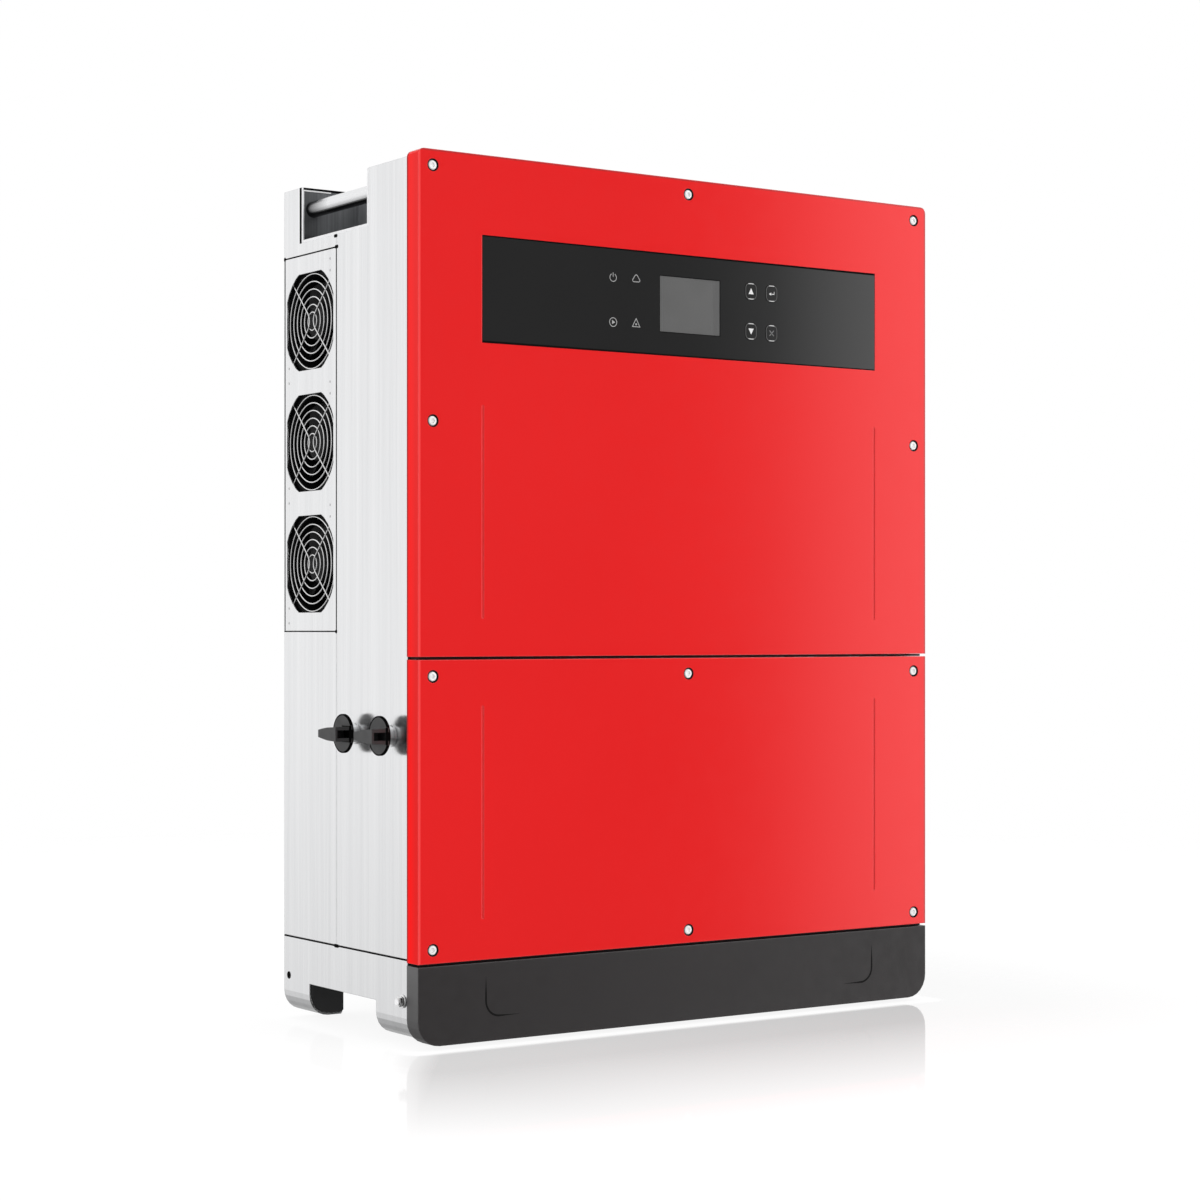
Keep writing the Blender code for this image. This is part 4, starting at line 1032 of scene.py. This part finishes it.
# ============================================================ floor, in metres
def floor_material():
    """Pale floor, polished near the unit, that fades to clear far out."""
    mat = Material("pale_floor")
    mat.finish(Base_Color=mat.vary_colour((0.155,) * 3, (0.165,) * 3, scale=1.3),
               Roughness=0.8, Specular_IOR_Level=0.0,
               Emission_Color=(1, 1, 1), Emission_Strength=0.89)
    clear = mat.add("BsdfTransparent").outputs[0]
    polish = mat.add("BsdfGlossy", {"Roughness": 0.05, "Color": (0.97, 0.97, 0.97)}).outputs[0]
    place = mat.add("TexCoord").outputs["Object"]
    x, y, _ = mat.add("SeparateXYZ", {0: place}).outputs

    def beyond(value, half):
        over = mat.math("SUBTRACT", mat.math("ABSOLUTE", value), half)
        return mat.math("MAXIMUM", over, 0.0)

    # distance from the unit's footprint: the polish fades out over it
    half_depth = DEPTH / 2000
    off_x = beyond(x, 0.293)
    off_y = beyond(mat.math("ADD", y, half_depth), half_depth)
    squares = mat.math("ADD", mat.times(off_x, off_x), mat.times(off_y, off_y))
    away = mat.math("SQRT", squares)
    # side of the line from the front left corner toward the camera: weaker beside the unit
    beside = mat.math("SUBTRACT", mat.times(mat.math("ADD", x, SIDE / 1000), 0.826),
                      mat.times(mat.math("ADD", y, DEPTH / 1000), 0.563))
    shine = mat.times(mat.span(away, to=(0.46, 0.0), over=(0.10, 0.42)),
                      mat.span(beside, to=(0.12, 0.85), over=(-0.02, 0.02)))
    shine = mat.times(shine, mat.span(x, to=(0.92, 1.12), over=(-0.20, 0.25)))
    # it starts a little way out, so a pale line is left under the trim
    shine = mat.times(shine, mat.span(away, over=(0.010, 0.020)))
    near = mat.add("MixShader", {0: shine, 1: mat.bsdf.outputs[0], 2: polish}).outputs[0]
    length = mat.add("VectorMath", {0: place}, operation="LENGTH").outputs["Value"]
    fade = mat.span(length, over=(0.75, 2.2))
    blend = mat.add("MixShader", {0: fade, 1: near, 2: clear}).outputs[0]
    mat.feed(mat.tree.nodes["Material Output"].inputs["Surface"], blend)
    return mat.material


# the floor lies 4 mm under the unit
bpy.ops.mesh.primitive_plane_add(size=14.0, location=(0, 0, (-ORIGIN_Z - 4.0) / 1000))
floor = bpy.context.active_object
floor.name = "studio_floor"
floor.visible_glossy = False
floor.data.materials.append(floor_material())

# ============================================================ world
# what reflections see: degrees round from the front, positive to the right, and brightness
STUDIO = [
    (-180, 0.95), (-118, 0.95), (-95, 0.84), (-60, 0.52), (-20, 0.18), (10, 0.06),
    (36.2, 0.05), (37.1, 0.12), (37.8, 0.26), (38.4, 0.50), (39.1, 1.02), (39.7, 1.50),
    (40.4, 1.82), (41.2, 2.05), (45, 2.15), (50, 1.55), (58, 0.95), (75, 0.78),
    (95, 0.80), (125, 0.88), (180, 0.95),
]
STUDIO_STRENGTH = 2.5


def build_world():
    """Reflections see a soft studio: dark in front, a bright card front right, darker ground."""
    world = bpy.data.worlds.new("studio")
    bpy.context.scene.world = world
    world.use_nodes = True
    world.node_tree.nodes.clear()
    sky = ShaderTree(world.node_tree)
    direction = sky.add("TexCoord").outputs["Generated"]
    x, y, z = sky.add("SeparateXYZ", {0: direction}).outputs
    around = sky.math("ARCTAN2", x, sky.times(y, -1.0))
    turn = sky.span(around, over=(-math.pi, math.pi))
    ramp = sky.add("ValToRGB", {"Fac": turn})
    stops = ramp.color_ramp.elements
    while len(stops) > 1:
        stops.remove(stops[-1])
    for k, (degrees, brightness) in enumerate(STUDIO):
        stop = stops.new((degrees + 180) / 360) if k else stops[0]
        if k == 0:
            stop.position = 0.0
        stop.color = (brightness / STUDIO_STRENGTH,) * 3 + (1,)
    ground = sky.span(z, to=(0.27, 1.0), over=(-0.60, -0.04))
    studio = sky.mix(1.0, ramp.outputs["Color"], ground, blend="MULTIPLY")

    def background(colour, strength):
        return sky.add("Background", {"Color": colour, "Strength": strength}).outputs[0]

    glossy = background(studio, strength=STUDIO_STRENGTH)
    diffuse = background((1, 1, 1), strength=0.60)
    seen = background((1, 1, 1), strength=1.0)
    ray = sky.add("LightPath").outputs
    lit = sky.add("MixShader", {0: ray["Is Glossy Ray"], 1: diffuse, 2: glossy}).outputs[0]
    whole = sky.add("MixShader", {0: ray["Is Camera Ray"], 1: lit, 2: seen}).outputs[0]
    sky.add("OutputWorld", {"Surface": whole})


build_world()


# ============================================================ lights and camera, in metres
def area(name, at, aim, size, power):
    """A large square soft light that doesn't show in reflections."""
    light = bpy.data.lights.new(name, "AREA")
    light.shape = "RECTANGLE"
    light.size = light.size_y = size
    light.energy = power
    obj = bpy.data.objects.new(name, light)
    bpy.context.scene.collection.objects.link(obj)
    obj.location = at
    obj.rotation_euler = (Vector(aim) - Vector(at)).to_track_quat("-Z", "Y").to_euler()
    obj.visible_camera = False
    obj.visible_glossy = False


area("front_soft", at=(0.9, -2.9, 0.9), aim=(0, -0.2, -0.2), size=2.4, power=34)
area("left_soft", at=(-2.8, -0.4, 0.7), aim=(-0.2, -0.1, -0.2), size=2.2, power=21)
area("top_soft", at=(0.2, -0.4, 2.4), aim=(0, -0.1, 0), size=2.2, power=18)

lens = bpy.data.cameras.new("photo_camera")
lens.lens = 78.37
lens.sensor_width = 36.0
lens.shift_y = 0.0251
camera = bpy.data.objects.new("photo_camera", lens)
bpy.context.scene.collection.objects.link(camera)
camera.location = (-1.4469, -2.2408, 0.3657 - ORIGIN_Z / 1000)
camera.rotation_euler = (math.radians(90), 0, math.radians(-34.257))
bpy.context.scene.camera = camera
bpy.context.scene.view_settings.view_transform = "Standard"
